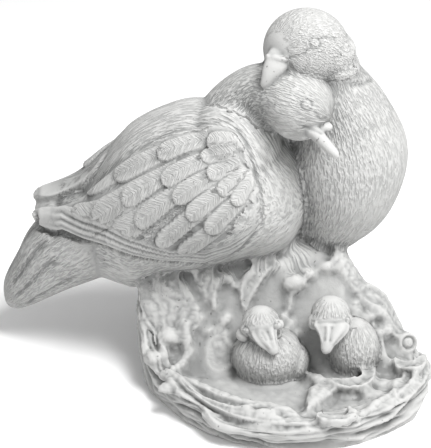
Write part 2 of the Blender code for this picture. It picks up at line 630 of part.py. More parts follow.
def feather_tips():
    """Feathers of a wing from the tail to the shoulder: tip, lean, length and half width."""
    tips = list(LONG_FEATHERS)
    for reach, turns, length, half_width in FEATHER_ROWS:
        for turn in turns:
            angle = math.radians(turn)
            stretched = reach * (1 + FEATHER_STRETCH * math.exp(-((turn + 8) / 24) ** 2))
            place = (FEATHER_MIDDLE[0] + stretched * math.cos(angle),
                     FEATHER_MIDDLE[1] + stretched * math.sin(angle))
            lean = FEATHER_LEAN + turn * (0.72 - 0.003 * reach)
            tips.append((*place, lean, length, half_width))
    return tips


def feather_relief(along, across):
    """Height of the overlapping feathers at places along and across a wing."""
    height = np.zeros(len(along))
    for tip_along, tip_across, lean, length, half_width in feather_tips():
        angle = math.radians(lean)
        ahead = along - tip_along
        beside = across - tip_across
        back = -(ahead * math.cos(angle) + beside * math.sin(angle))
        off = beside * math.cos(angle) - ahead * math.sin(angle)
        share = np.clip(back / length, 0, 1)
        outline = half_width * rounded_end(back / (1.1 * half_width)) * (1 - 0.3 * share)
        past = np.maximum(np.abs(off) - outline, np.maximum(-back, back - length))
        inside = past < 0
        edge = ease(-past, 0, FEATHER_EDGE)
        crown = RELIEF * (1 - 0.75 * share) * (1 - 0.25 * (off / half_width) ** 2)
        shaft = SHAFT * np.exp(-(off / 0.7) ** 2) * (1 - share)
        height = np.where(inside, height * (1 - edge) + (crown + shaft) * edge, height)
    return height


def carve_wings(points):
    """Feathers, the long streaks along the lower edge and the hollow round each wing."""
    move = np.zeros(len(points))
    for place_on in wings():
        along, across, above_edge, inward = place_on.local(points)
        height = feather_relief(along, across)
        on_wing = ease(inward, 0.5, 2.5) * ease(WING_LENGTH - along, 12, 26)
        streaks = np.sin(above_edge * 2 * math.pi / STREAK_PITCH) * STREAK_HEIGHT
        in_band = ease(-above_edge, -STREAK_BAND, -STREAK_BAND + 3)
        height = height * (1 - 0.7 * in_band) + streaks * in_band
        move += on_wing * height * place_on.size
        under_edge = ease(along, 25, 55) * ease(-above_edge, -12, -4)
        hollow = WING_MOAT * (WING_MOAT_LEAST + (1 - WING_MOAT_LEAST) * under_edge)
        half_width = WING_MOAT_WIDTH / 2
        move -= hollow * np.exp(-((inward + half_width) / half_width) ** 2) * place_on.size
    return move


def carve_tail(points):
    """Long grooves between the tail feathers."""
    tail = Loft(LOWER_TAIL)
    along, angle, share = tail.local(points)
    degrees = np.degrees(angle) % 360
    on_tail = ease(along, TAIL_GROOVE_START, TAIL_GROOVE_START + 12) * ease(-share, -1.3, -1.1)
    on_tail *= ease(tail.along[-1] - along, 14, 26)
    move = np.zeros(len(points))
    for groove in TAIL_GROOVE_TURNS:
        move -= on_tail * GROOVE * np.exp(-((degrees - groove) / 6.0) ** 2)
    return move


def ring_noise(turn, path, pattern, shift=0.0):
    """Noise round the mound: a pattern is how often it changes round it and across."""
    often_round, often_across = pattern
    place = (often_round * math.cos(turn), often_round * math.sin(turn), often_across * path + shift)
    return noise.noise(Vector(place))


def strands(turn, path):
    """Long ragged strands that run round the mound."""
    wave = ring_noise(turn, path, STRAND_WAVE)
    long_strands = 1 - STRAND_SHARPNESS * abs(ring_noise(turn, path, STRAND, STRAND_SWAY * wave))
    fibres = ring_noise(turn, path, FIBRE, FIBRE_SWAY * wave)
    ragged = ring_noise(turn, path, RAGGED_EDGE)
    return STRAND_SHARE * long_strands + FIBRE_SHARE * fibres + RAGGED_SHARE * ragged - STRAND_SUNK


def rough_cast(point, size):
    """Uneven surface of the nest, with rounded lumps of a size between creases."""
    return CAST_RISE - CAST_CREASE * abs(noise.noise(Vector(point) / size))


def on_chicks(points):
    """How far each point belongs to a chick, from 0 to 1."""
    share = np.full(len(points), 9.0)
    for middle, half_sizes in (*CHICK_BODIES, *CHICK_HEADS, *CHICK_CHEEKS):
        share = np.minimum(share, np.linalg.norm((points - np.array(middle)) / np.array(half_sizes), axis=1))
    return ease(-share, -1.4, -1.15)


def carve_nest(points, normals):
    """Strands round the mound's wall and rim, and its uneven top."""
    x, y, z = points.T
    rim = rim_radius(x, y)
    radius = np.hypot(x, y - FOOT_CENTRE_Y)
    top = hill_top(x, y)
    outward = (normals[:, 0] * x + normals[:, 1] * (y - FOOT_CENTRE_Y)) / np.maximum(radius, 1)
    turn = np.arctan2(y - FOOT_CENTRE_Y, x)
    reach = radius / rim
    on_wall = ease(reach, 0.86, 0.93) * ease(-reach, -1.2, -1.15) * ease(outward, 0.1, 0.45)
    on_wall *= ease(top + 3 - z, 0, 3) * ease(z, 0.2, 2)
    on_top = ease(reach, 0.8, 0.92) * ease(z - top, -6, -1) * ease(top + 9 - z, 0, 4) * ease(-y, 0, 20)
    path = np.where(on_wall > on_top, z - top, rim - radius)
    weight = np.maximum(on_wall, 0.7 * on_top)
    move = np.zeros(len(points))
    for i in np.flatnonzero(weight > 0.01):
        move[i] = weight[i] * BARK * strands(turn[i], path[i])
    nest = ease(z - top, -6, -1) * ease(top + 16 - z, 0, 6) * ease(-reach, -1.15, -1.05)
    proud = ease(z - top, 1.5, 4.5)
    nest *= np.maximum(0.25 + 0.75 * ease(reach, 0.7, 0.92), proud) * (1 - 0.7 * on_chicks(points))
    for i in np.flatnonzero(nest > 0.01):
        move[i] += nest[i] * (CAST_COARSE * rough_cast(points[i], CAST_COARSE_SIZE)
                              + CAST_FINE * rough_cast(points[i], CAST_FINE_SIZE))
    return move


def carve_bills(points):
    """Ridges down the chicks' broad bills."""
    move = np.zeros(len(points))
    for stations in CHICK_BEAKS:
        along, angle, share = Loft(stations, side=(1, 0, 0)).local(points)
        on_bill = ease(along, 4, 7) * ease(1.5 - share, 0, 0.3) * ease(21 - along, 0, 4)
        move += on_bill * BILL_RIDGE * np.cos(angle * BILL_RIDGES)
    return move


def carve_roll(points):
    """Spiral end of the rolled leaf."""
    x, y, lift = ROLLED_LEAF
    axis = np.array(ROLLED_LEAF_AXIS)
    offset = points - np.array([x, y, float(hill_top(x, y)) + lift])
    along = offset @ axis
    gap = np.linalg.norm(offset - along[:, None] * axis, axis=1)
    at_end = ease(-along, 2, 5) * ease(along, -14, -12) * (gap < ROLLED_LEAF_RADIUS + 1)
    return -at_end * ROLL_GROOVE * np.exp(-((gap / ROLLED_LEAF_RADIUS - 0.55) / 0.16) ** 2)


def carve_folds(points):
    """Narrow folds beside the eyes, bills and collar."""
    move = np.zeros(len(points))
    for path, depth, width in FOLDS:
        line = smooth_rows(path, 6)
        low, high = line.min(0) - 4 * width, line.max(0) + 4 * width
        near = np.flatnonzero(((points > low) & (points < high)).all(1))
        gap = np.full(len(near), 99.0)
        for start, end in zip(line[:-1], line[1:]):
            run = end - start
            share = np.clip((points[near] - start) @ run / (run @ run), 0, 1)
            gap = np.minimum(gap, np.linalg.norm(points[near] - start - share[:, None] * run, axis=1))
        move[near] -= depth * np.exp(-(gap / width) ** 2)
    return move


def carve_eyes(points):
    """Domed eyes in shallow rings."""
    move = np.zeros(len(points))
    for middle, size in EYES:
        gap = np.linalg.norm(points - np.array(middle), axis=1)
        dome = np.sqrt(np.clip(1 - (gap / size) ** 2, 0, 1))
        move += 0.3 * size * dome - 0.1 * size * np.exp(-((gap / size - 1.15) / 0.22) ** 2)
        move += 0.1 * size * np.exp(-((gap / size - 1.65) / 0.25) ** 2)
    return move


def mesh_values(mesh, value="co"):
    """Places or normals of the mesh's vertices."""
    points = np.empty(len(mesh.vertices) * 3)
    mesh.vertices.foreach_get(value, points)
    return points.reshape(-1, 3)


def carve(mesh):
    """Move every point of the fused skin along its normal by the carving."""
    points = mesh_values(mesh)
    normals = mesh_values(mesh, "normal")
    move = carve_wings(points) + carve_tail(points) + carve_nest(points, normals) + carve_eyes(points)
    move += carve_bills(points) + carve_folds(points) + carve_roll(points)
    points = points + normals * move[:, None]
    mesh.vertices.foreach_set("co", points.ravel())
    mesh.update()


def neighbours_mean(points, edges, rounds):
    """Points after each is moved to the mean of its neighbours a number of times."""
    count = np.bincount(edges.ravel(), minlength=len(points))[:, None]
    for _ in range(rounds):
        total = np.zeros_like(points)
        for axis in range(3):
            total[:, axis] = np.bincount(edges[:, 0], points[edges[:, 1], axis], len(points))
            total[:, axis] += np.bincount(edges[:, 1], points[edges[:, 0], axis], len(points))
        points = total / np.maximum(count, 1)
    return points


def in_nest(points):
    """How far each point is part of the nest, from 0 to 1."""
    x, y, z = points.T
    reach = np.hypot(x, y - FOOT_CENTRE_Y) / rim_radius(x, y)
    return ease(hill_top(x, y) + 26 - z, 0, 12) * ease(-reach, -1.25, -1.15)


def settle_nest(mesh):
    """Soften the nest's pieces into the mound, as a worn mould leaves them."""
    points = mesh_values(mesh)
    edges = np.empty(len(mesh.edges) * 2, int)
    mesh.edges.foreach_get("vertices", edges)
    edges = edges.reshape(-1, 2)
    weight = 0.5 * in_nest(points)[:, None]
    for _ in range(NEST_SOFTENING):
        points = points + weight * (neighbours_mean(points, edges, 1) - points)
    mesh.vertices.foreach_set("co", points.ravel())
    mesh.update()


def swell(mesh, share):
    """Move the skin out by a share of the fillet radius, which is larger in the nest."""
    points = mesh_values(mesh)
    radius = FILLET + (NEST_FILLET - FILLET) * in_nest(points)
    points = points + mesh_values(mesh, "normal") * (share * radius)[:, None]
    mesh.vertices.foreach_set("co", points.ravel())
    mesh.update()


def applied(item):
    """Replace the object's mesh by its evaluated one and drop its modifiers."""
    graph = bpy.context.evaluated_depsgraph_get()
    mesh = bpy.data.meshes.new_from_object(item.evaluated_get(graph))
    old = item.data
    item.modifiers.clear()
    item.data = mesh
    bpy.data.meshes.remove(old)


def fuse(item):
    """Fuse the overlapping shells into one skin."""
    fusing = item.modifiers.new("fuse", "REMESH")
    fusing.mode = "VOXEL"
    fusing.voxel_size = GRAIN
    applied(item)


def keep_largest(mesh):
    """Remove the crumbs that fusing leaves beside the one large skin."""
    bm = bmesh.new()
    bm.from_mesh(mesh)
    waiting = set(bm.verts)
    pieces = []
    while waiting:
        edge_of_piece = [waiting.pop()]
        piece = set(edge_of_piece)
        while edge_of_piece:
            v = edge_of_piece.pop()
            for e in v.link_edges:
                other = e.other_vert(v)
                if other not in piece:
                    piece.add(other)
                    edge_of_piece.append(other)
        waiting -= piece
        pieces.append(piece)
    largest = max(pieces, key=len)
    crumbs = [v for piece in pieces if piece is not largest for v in piece]
    bmesh.ops.delete(bm, geom=crumbs, context="VERTS")
    bm.to_mesh(mesh)
    bm.free()


def fused_skin():
    """The forms fused into one skin, with a fillet in every crease."""
    bm = soft_shells()
    mesh = bpy.data.meshes.new("dove_group")
    bm.to_mesh(mesh)
    bm.free()
    item = bpy.data.objects.new("dove_group", mesh)
    bpy.context.collection.objects.link(item)
    fuse(item)
    swell(item.data, 1)
    fuse(item)
    swell(item.data, -1)
    settle_nest(item.data)
    bm = crisp_shells()
    bm.from_mesh(item.data)
    bm.to_mesh(item.data)
    bm.free()
    fuse(item)
    soften = item.modifiers.new("soften", "SMOOTH")
    soften.iterations = SOFTENING
    soften.factor = 0.5
    applied(item)
    keep_largest(item.data)
    return item


def facet(item):
    """Reduce the skin to the facet limit and cut it flat at the ground."""
    evenly = item.vertex_groups.new(name="evenly")
    points = mesh_values(item.data)
    gap = np.min([np.linalg.norm(points - np.array(middle), axis=1) / size for middle, size in EYES], axis=0)
    weights = EYE_COARSENESS + (1 - EYE_COARSENESS) * ease(gap, *EYE_REACH)
    for i in np.flatnonzero(gap < EYE_REACH[1]):
        evenly.add([int(i)], float(weights[i]), "REPLACE")
    evenly.add(np.flatnonzero(gap >= EYE_REACH[1]).tolist(), 1.0, "REPLACE")
    thin = item.modifiers.new("facets", "DECIMATE")
    thin.vertex_group = evenly.name
    thin.ratio = min(1.0, FACET_LIMIT / (2.0 * len(item.data.polygons)))
    applied(item)
    bm = bmesh.new()
    bm.from_mesh(item.data)
    cut = bmesh.ops.bisect_plane(bm, geom=bm.verts[:] + bm.edges[:] + bm.faces[:], dist=GROUND_SNAP,
                                 plane_co=(0, 0, 0), plane_no=(0, 0, 1), clear_inner=True)
    rim = [g for g in cut["geom_cut"] if isinstance(g, bmesh.types.BMEdge)]
    for v in {v for e in rim for v in e.verts}:
        v.co.z = 0.0
    bmesh.ops.contextual_create(bm, geom=[e for e in bm.edges if e.is_boundary])
    bmesh.ops.triangulate(bm, faces=bm.faces)
    bmesh.ops.recalc_face_normals(bm, faces=bm.faces)
    middle = Vector((*FOOT_MIDDLE, 0))
    bmesh.ops.translate(bm, vec=middle, verts=bm.verts)
    bmesh.ops.scale(bm, vec=(MM, MM, MM), verts=bm.verts)
    bm.to_mesh(item.data)
    bm.free()


def stone():
    """Pale cast stone."""
    material = bpy.data.materials.new("cast stone")
    material.use_nodes = True
    shader = material.node_tree.nodes["Principled BSDF"]
    shader.inputs["Base Color"].default_value = STONE_COLOUR
    shader.inputs["Roughness"].default_value = STONE_ROUGHNESS
    shader.inputs["Metallic"].default_value = 0.0
    return material


def main():
    """Build the one-piece figure."""
    clear_scene()
    figure = fused_skin()
    carve(figure.data)
    facet(figure)
    figure.data.materials.append(stone())


if __name__ == "__main__":
    main()
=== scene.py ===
"""Pair of doves on a nest mound, one casting of pale stone: the finished surface.

The form is drawn in millimetres from the middle of the round foot, +X to the right and
+Y to the back. Each form is a closed shell. The shells are fused, smoothed and carved,
thinned to the facets that the carving needs, and set in the row's frame.
"""

import math

import bmesh
import bpy
import numpy as np
from mathutils import Matrix, Vector, noise


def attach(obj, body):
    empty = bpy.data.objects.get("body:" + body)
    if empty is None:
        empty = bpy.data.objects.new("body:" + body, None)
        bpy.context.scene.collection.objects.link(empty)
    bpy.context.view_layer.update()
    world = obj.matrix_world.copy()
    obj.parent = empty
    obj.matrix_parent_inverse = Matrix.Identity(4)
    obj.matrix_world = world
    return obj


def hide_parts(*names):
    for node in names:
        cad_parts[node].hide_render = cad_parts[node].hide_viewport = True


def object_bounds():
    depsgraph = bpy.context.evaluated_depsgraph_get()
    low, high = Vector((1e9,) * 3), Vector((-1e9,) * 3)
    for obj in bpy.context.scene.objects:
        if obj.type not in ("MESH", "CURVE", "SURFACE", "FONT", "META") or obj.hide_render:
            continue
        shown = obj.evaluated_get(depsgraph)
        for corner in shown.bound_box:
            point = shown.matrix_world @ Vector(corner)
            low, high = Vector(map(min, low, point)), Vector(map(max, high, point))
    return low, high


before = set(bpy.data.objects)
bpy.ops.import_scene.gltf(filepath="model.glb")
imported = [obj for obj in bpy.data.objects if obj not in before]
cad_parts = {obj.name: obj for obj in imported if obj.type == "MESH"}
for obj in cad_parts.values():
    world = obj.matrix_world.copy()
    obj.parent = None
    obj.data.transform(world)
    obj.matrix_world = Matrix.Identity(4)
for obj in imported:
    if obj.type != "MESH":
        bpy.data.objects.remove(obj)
FRAME_BOX = [list(corner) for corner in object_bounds()]

NODE = "dove_group"
BODY = "root"

# The drawing's millimetre in metres, and the foot's middle in the row's frame
MM = 0.001
FOOT_MIDDLE = (55.2, -23.75)

# Sizes of the carving, in millimetres
FOOT = 100.0
STEP = 4.5
RELIEF = 2.3
GROOVE = 2.0
LEAF = 4.5
TWIG = 3.4
EYE = 3.2
CHICK_EYE = 2.4
BARK = 3.6
CAST_COARSE = 0.6
CAST_COARSE_SIZE = 9.0
CAST_FINE = 0.3
CAST_FINE_SIZE = 4.0
CAST_RISE = 0.6
CAST_CREASE = 2.2
STRAND_WAVE = (1.5, 0.03)
STRAND = (1.9, 0.15)
STRAND_SHARPNESS = 3.0
STRAND_SWAY = 2.4
STRAND_SHARE = 0.7
FIBRE = (4.5, 0.42)
FIBRE_SWAY = 3.0
FIBRE_SHARE = 0.6
RAGGED_EDGE = (9.0, 0.16)
RAGGED_SHARE = 0.45
STRAND_SUNK = 0.3
STRANDS_ON_TOP = 0.55
BILL_RIDGE = 0.45
BILL_RIDGES = 7
GRAIN = 0.9
SOFTENING = 2
FILLET = 2.2
NEST_FILLET = 2.4
NEST_SOFTENING = 3
FACET_LIMIT = 198000

# Stations of the forms: x, y, z, half width, half height
LOWER_BODY = [
    (11, 34, 126, 4, 5), (8, 34, 127, 16, 20), (1, 34, 129, 28, 36), (-8, 34, 131, 36, 44),
    (-20, 36, 134, 44, 50), (-39, 38, 137, 51, 57), (-68, 40, 134.5, 53, 64),
    (-92, 42, 128, 50, 63), (-111, 44, 117, 46, 63), (-122, 45, 112, 42, 56.5),
    (-132, 47, 106, 37, 48), (-144, 50, 97, 31, 37), (-156, 52, 90, 25, 25), (-163, 53, 86, 10, 10),
]
LOWER_NECK = [
    (-52, 42, 150, 32, 34), (-46, 43, 172, 26.5, 28), (-37, 42, 191, 24, 24), (-23, 37, 205, 21, 22),
    (-9, 27, 208, 22, 22), (4, 15, 207, 24, 23), (14, 8, 205, 20, 19), (21, 4, 203, 12, 12),
    (25, 2, 202, 3, 3),
]
LOWER_BEAK = [
    (6, 2, 200, 5, 5), (12, -4, 196.5, 5.2, 5), (17, -9, 193, 4.8, 4.4), (22, -14, 189, 4, 3.8),
    (26.5, -17.5, 185.5, 3, 3), (29, -18.3, 182.5, 1.4, 1.4),
]
LOWER_TAIL = [
    (-122, 47, 104, 32, 32), (-144, 50, 91, 33, 33), (-167, 55, 73.5, 30, 29), (-183, 60, 56, 26, 22),
    (-197, 63, 40.5, 21, 16), (-204, 64, 32.5, 17, 11), (-209, 65, 28.5, 8, 4),
]
LOWER_MANTLE = [
    (-24, 37, 136, 48, 52), (-39, 38, 138, 53, 55), (-68, 40, 138, 53, 55), (-92, 42, 130, 51, 54),
    (-111, 44, 121, 47, 53), (-122, 45, 115, 43, 49), (-132, 47, 110, 40, 44),
    (-144, 50, 105, 35, 35.5), (-155, 52, 104, 29, 27), (-166, 54, 104, 23, 21),
    (-176, 56, 105, 17, 16), (-183, 57, 106, 13, 12), (-187, 57, 106, 6, 8),
]
UPPER_BREAST = [
    (12, 38, 241, 3, 3), (17, 38, 236, 22, 19), (21, 39, 226, 24, 20), (25, 42, 211, 27, 28),
    (34, 46, 186, 36, 36), (40, 47, 158, 43.5, 41), (39, 48, 130, 38.5, 40), (31, 52, 105, 28, 33),
    (26, 56, 87, 17, 21), (25, 57, 80, 6, 8),
]
UPPER_BACK = [
    (39, 42, 152, 30, 34), (38, 56, 148, 39, 42), (35, 76, 134, 40, 40), (29, 97, 115, 35, 33),
    (22, 116, 97, 26, 24), (15, 129, 83, 18, 15), (10, 137, 73, 8, 6),
]
UPPER_TAIL = [
    (22, 108, 98, 16, 12), (15, 124, 83, 19, 10), (9, 138, 68, 20, 8), (5, 147, 57, 18, 6),
    (4, 150, 52, 8, 2),
]
UPPER_BEAK = [
    (-8, 23, 243, 7, 5), (-10, 20, 240.5, 8, 5), (-12.5, 16.5, 236, 7.8, 5),
    (-15.5, 14.5, 231, 6.6, 4.2), (-18.3, 13.5, 225.5, 4.6, 3.4), (-20.2, 13.6, 222.3, 3.2, 2.6),
    (-20.8, 14, 220.8, 1.4, 1.2),
]
UPPER_CERE = [
    (-18.8, 20.5, 240.4, 1, 1), (-17.5, 18, 240.8, 2.2, 2.2), (-15.5, 16.6, 241, 1.5, 1.5),
    (-13, 15.3, 241.2, 2.2, 2.1), (-8, 14.3, 241, 2.2, 2.1), (-4.8, 15, 240.6, 1.8, 1.8),
    (-3.3, 17, 240.2, 0.8, 0.8),
]
# Line of the upper head from the beak to the nape, for the lie of its plumage
UPPER_HEAD_ROWS = [
    (-16, 18, 240, 4, 4), (-13, 22, 242, 15, 15), (-4, 30, 242, 24, 24), (8.8, 37, 239.5, 27, 27),
    (22, 42, 233, 25, 25), (34, 46, 222, 22, 22),
]

# Balls: middle, half sizes along x, y and z
UPPER_HEAD = ((8.8, 37, 239.5), (29.5, 26, 28))
LOWER_CHEEK = ((4, 13, 206), (23, 22, 23))
LOWER_CERE = ((21, -3, 198.5), (5, 4, 3.2))
BETWEEN_BREASTS = ((6, 52, 132), (28, 28, 64))
BETWEEN_NECKS = ((-1, 48, 182), (22, 20, 26))
BETWEEN_TIPS = ((-166, 56, 108), (19, 14, 9))
UPPER_SHOULDER = ((35, 62, 164), (34, 26, 30))
LOWER_SHOULDER = ((-42, 28, 163), (36, 34, 42))
UPPER_CHEEK = ((19, 38, 236), (24.5, 23, 18.5))
UPPER_NAPE = ((28.5, 39, 226), (18, 21, 12))
SOFT_BALLS = [
    UPPER_HEAD, UPPER_CHEEK, UPPER_NAPE, UPPER_SHOULDER, LOWER_CHEEK, LOWER_SHOULDER,
    BETWEEN_BREASTS, BETWEEN_NECKS, BETWEEN_TIPS,
]
CHICK_BODIES = [((-16, -26, 32), (25, 22, 22)), ((45, -17, 33), (18, 20, 23))]
CHICK_HEADS = [((-21.5, -28, 60), (13.5, 13, 12.5)), ((27.5, -21, 63), (14, 13.5, 13.5))]
CHICK_CHEEKS = [
    ((-31.5, -32, 58), (4.5, 4.5, 4)), ((-34, -30, 52), (5, 5, 5)), ((-10, -33, 62), (4.5, 4, 4)),
    ((16, -26, 60), (5, 5, 6)), ((38, -26, 62), (4.5, 4.5, 5)), ((0, -26, 28), (13, 14, 15)),
]
CHICK_BEAKS = [
    [(-21, -33, 63, 7, 6), (-20, -38, 59, 9, 4.5), (-17.5, -42, 55, 7.5, 4), (-14.5, -44.5, 51, 5, 3.5),
     (-12.4, -46, 47.5, 3.6, 3), (-11.8, -46.5, 45.5, 1.5, 1.5)],
    [(27, -28, 64, 12, 6), (27, -34, 60, 12.5, 5), (26, -38.5, 56, 8.5, 4.5), (24.5, -42, 52, 5.2, 4),
     (23.4, -44.5, 48, 3.8, 3.2), (23, -45, 45.5, 1.6, 1.6)],
]

# Hill height along x at the back of the nest, nest floor and rim
HILL_X = (-112, -105, -85, -60, 0, 37, 51, 70, 81, 96, 112)
HILL_Z = (66, 72, 82, 89, 97, 87, 63, 46, 27, 9, 6)
NEST_FLOOR = 18.0
RIM_RISE = 5.0
RIM_RADIUS = 103.0
RIM_TURNS = (-180, -150, -120, -90, -60, -35, -10, 5, 25, 45, 70, 100, 140, 165, 180)
RIM_REACH = (108, 101, 102, 104, 106, 107, 102, 95, 90, 97, 102, 103, 105, 109, 108)
HILL_FRONT_Y = -34.0
HILL_CREST_Y = 26.0
BACK_SLOPE = 0.56
BACK_RIM = 12.0
FOOT_CENTRE_Y = 5.0
WALL_SHARE = 0.35
BELOW_GROUND = 8.0
GROUND_SNAP = 0.02

# Wing edges: distance behind the shoulder, and angles of the lower and upper edge about the back
WING_ALONG = (0, 8, 20, 37, 60, 81, 105, 116, 139, 163)
WING_LOWER = (206, 212, 222, 231, 222, 206, 188, 182, 176, 200)
WING_UPPER = (140, 128, 120, 118, 119, 122, 123, 125, 134, 140)
WING_UPPER_FAR = (140, 128, 120, 118, 119, 118, 96, 80, 74, 60)
WING_LENGTH = 163.0
UPPER_WING = {"start": 20.0, "length": 104.0, "step": STEP * 0.6}
WING_FRONT_ROUND = 0.13
WING_REAR_ROUND = 0.09
WING_UPPER_STEP = 1.0
WING_LIFT_SHARE = 0.3
WING_THICKNESS = 12.0
STREAK_PITCH = 4.2
STREAK_BAND = 15.0
STREAK_HEIGHT = 0.6
STREAK_STROKES = 0.25
WING_MOAT = 3.0
WING_MOAT_WIDTH = 4.5
WING_MOAT_LEAST = 0.3

# Feathers of a wing, in millimetres along and across it: rings of tips about a middle
FEATHER_MIDDLE = (5.0, -35.0)
FEATHER_ROWS = [
    (104, (-1, 11, 21), 46, 11.5), (82, (-2, 9, 21, 38, 53), 42, 9.0),
    (56, (-9, 8, 23, 39, 57), 36, 8.2), (30, (-24, -5, 17, 42, 66), 26, 6.6),
]
FEATHER_EDGE = 1.4
SHAFT = 0.35
SHAFT_WIDTH = 0.7
FEATHER_STRETCH = 0.16
FEATHER_LEAN = 14.0
# Barbs on the feathers: strength, closeness and slant of the strokes
BARB_STROKES = 0.6
BARB_CLOSENESS = 1.3
BARB_SLANT = 0.9

# Long feathers: tip along and across, lean, length and half width
LONG_FEATHERS = [(147, -10, 4, 46, 9.5), (130, -15, 8, 46, 9.5)]

TAIL_GROOVE_START = 40.0
TAIL_GROOVE_TURNS = (96.0, 138.0, 166.0, 205.0)

# Leaves over the mound: path of x, y and lift, half width, cup of the edges, ribs, widest place
LEAVES = [
    ([(-108, 14, 3), (-93, 3, 4), (-79, -3, 4), (-63, -8, 3)], 12, -2.0, 7, 0.45),
    ([(-60, -1, 3), (-61, 5, 4), (-62, 13, 5)], 8, 1.5, 5, 0.75),
    ([(-32, -6, 4), (-31, 0, 5), (-24, 5, 6), (-17, 8, 5), (-7, 9, 3)], 4.5, 2.0, 1, 0.35),
    ([(30, 13, 3), (40, 17, 6), (50, 18, 6), (58, 13, 4)], 10, -2.5, 6, 0.5),
    ([(50, 8, 4), (62, 12, 7), (74, 10, 7), (83, 2, 4)], 10, 2.5, 3, 0.5),
    ([(46, 2, 3), (55, 3, 4), (66, 7, 3)], 4, 1.5, 1, 0.5),
    ([(74, -20, 3), (80, -32, 4), (89, -34, 5), (95, -20, 4)], 6, 2.5, 1, 0.5),
    ([(26, -43, 3), (36, -53, 5), (49, -50, 5), (60, -30, 3)], 6.5, 3.0, 1, 0.5),
    ([(22, -49, 4), (17, -64, 7), (9, -83, 3)], 8.5, -3.5, 1, 0.25),
    ([(11, -32, 3), (18, -41, 5), (27, -50, 4)], 4, -2.0, 1, 0.5),
    ([(20, -86, 3), (17, -96, 3), (27, -101, 3), (38, -95, 3), (37, -85, 3)], 4, 1.5, 1, 0.5),
]
LEAF_RIB = 1.3
LEAF_LIFT = 2.8
BACK_LEAF_TURNS = (38, 62, 88, 112, 136, 160)
BACK_LEAF_REACH = 0.86
BACK_LEAF_LENGTH = 30.0
BACK_LEAF = (9.0, -1.5, 3, 0.5)

# Twigs: path of x, y and lift, and radius as a share of the twig radius
TWIGS = [
    ([(-54, -4, 2), (-54, 2, 3), (-50, 7, 3), (-44, 7, 3), (-39, 4, 1)], 0.8),
    ([(-1, -5, 1), (0, -1, 2), (1, 3, 3)], 0.6),
    ([(64, -4, 3), (66, -13, 3), (69, -22, 1)], 0.6),
    ([(-76, -5, 3), (-74, -12, 4), (-73, -20, 2)], 1.2),
    ([(-70, -17, 3), (-79, -28, 3), (-88, -39, 2)], 0.9),
    ([(-61, -11, 1), (-52, -10, 1.5), (-44, -12, 1)], 0.5),
    ([(-50, -9, 1), (-44, -6, 3)], 1.0),
    ([(-92, -38, 1), (-73, -52, 2), (-54, -64, 2), (-37, -76, 2), (-20, -80, 2), (3, -90, 1)], 1.5),
    ([(-90, -46, -3), (-70, -62, -2), (-50, -76, -1), (-30, -87, 0), (-8, -94, 0)], 1.3),
    ([(-62, -78, -6), (-44, -90, -7), (-20, -98, -7), (4, -99, -6), (22, -97, -5)], 1.3),
    ([(50, -84, 0), (64, -72, 1), (78, -58, 1), (88, -42, 0)], 1.2),
    ([(44, 2, 2), (50, -3, 3), (57, -11, 2)], 0.7),
]
# Lumps on the mound: x, y, lift and half sizes
LUMPS = [
    (2, 3, 2, 8, 5, 8), (8, 4, 3, 4, 4, 5), (13, 8, 2, 4.5, 3.5, 4.5), (26, 13, 1, 5, 4, 4),
    (-86, -13, 2, 7.5, 7, 7),
    (64, -4, 3, 4, 4, 4), (-5, -7, 1, 4, 3, 3.5), (0, -9, 1, 3.5, 3, 3.5), (4, -12, 1, 3, 3, 3),
    (69, 0, 2, 6, 5, 5), (76, 9, 2, 6, 6, 5), (57, -61, 1, 8, 6, 4), (66, -47, 1, 7, 7, 4.5),
    (75, -50, 1, 6, 8, 4), (67, -69, 0, 8, 5, 4), (-95, -22, 0, 7, 8, 6), (-84, -52, 0, 8, 6, 5),
    (32, -12, 1, 4, 4, 6),
]
ROSETTE = (-51, -20, 1.0)
ROSETTE_RINGS = (8.0, 4.6)
ROSETTE_RING_SHARE = 0.55
ROSETTE_KNOB = (-51, -20, 1.0, 2.2, 2.2, 2.6)
ROLLED_LEAF = (84, -1, 6.0)
ROLLED_LEAF_AXIS = (-0.25, 0.88, -0.4)
ROLLED_LEAF_RADIUS = 7.5
ROLLED_LEAF_LENGTH = 12.0
ROLL_GROOVE = 1.5

# Eyes: middle and radius
EYES = [
    ((13.2, 14, 252), EYE), ((7.6, -6.3, 215.7), EYE), ((-14, 60, 246), EYE), ((2, 34, 216), EYE),
    ((-31.5, -36, 59), CHICK_EYE), ((-10, -37, 63), CHICK_EYE),
    ((16, -31, 61), CHICK_EYE), ((38, -30, 63), CHICK_EYE),
]

# Folds beside the eyes, bills and collar: path, depth and width
FOLDS = [
    ([(16.7, 16, 254.3), (20.9, 17.7, 254.3), (26.4, 20.2, 252.7)], 0.9, 1.3),
    ([(9.3, 12.2, 248.6), (4.1, 11.8, 244.5), (-3.2, 13.4, 241.7)], 0.9, 1.3),
    ([(39.9, 22.2, 217.8), (47.2, 28.2, 216.8), (54.5, 40.6, 214.7)], 1.0, 1.6),
    ([(17.6, -10.5, 197.3), (12.2, -9, 198.8), (6.2, -8.2, 200.7)], 0.9, 1.3),
    ([(21.1, -3.3, 205.1), (16.9, -6.1, 205.6), (14, -7.4, 209.8)], 0.8, 1.3),
    ([(17.9, -34, 64.4), (28.2, -35.4, 65.2), (38.9, -31.9, 64)], 1.0, 1.3),
    ([(-21.1, -42.9, 60.8), (-18.4, -45.8, 57)], 0.9, 1.1),
    ([(-17, -41.5, 60.8), (-14.9, -44.7, 57.1)], 0.9, 1.1),
    ([(22.6, -38.5, 62.2), (22.4, -43.8, 55.7)], 0.9, 1.1),
    ([(27.4, -38.5, 62.3), (25.9, -43.8, 55.8)], 0.9, 1.1),
]

# Fine strokes, grain and pores, which are bump in the material and not in the mesh, in millimetres
STROKE_BUMP = 0.7

# Middle and half size, along the body and in degrees about it, of the strokes that run round the wings
ROUND_MIDDLE = (100.0, 170.0)
ROUND_SIZE = (85.0, 55.0)

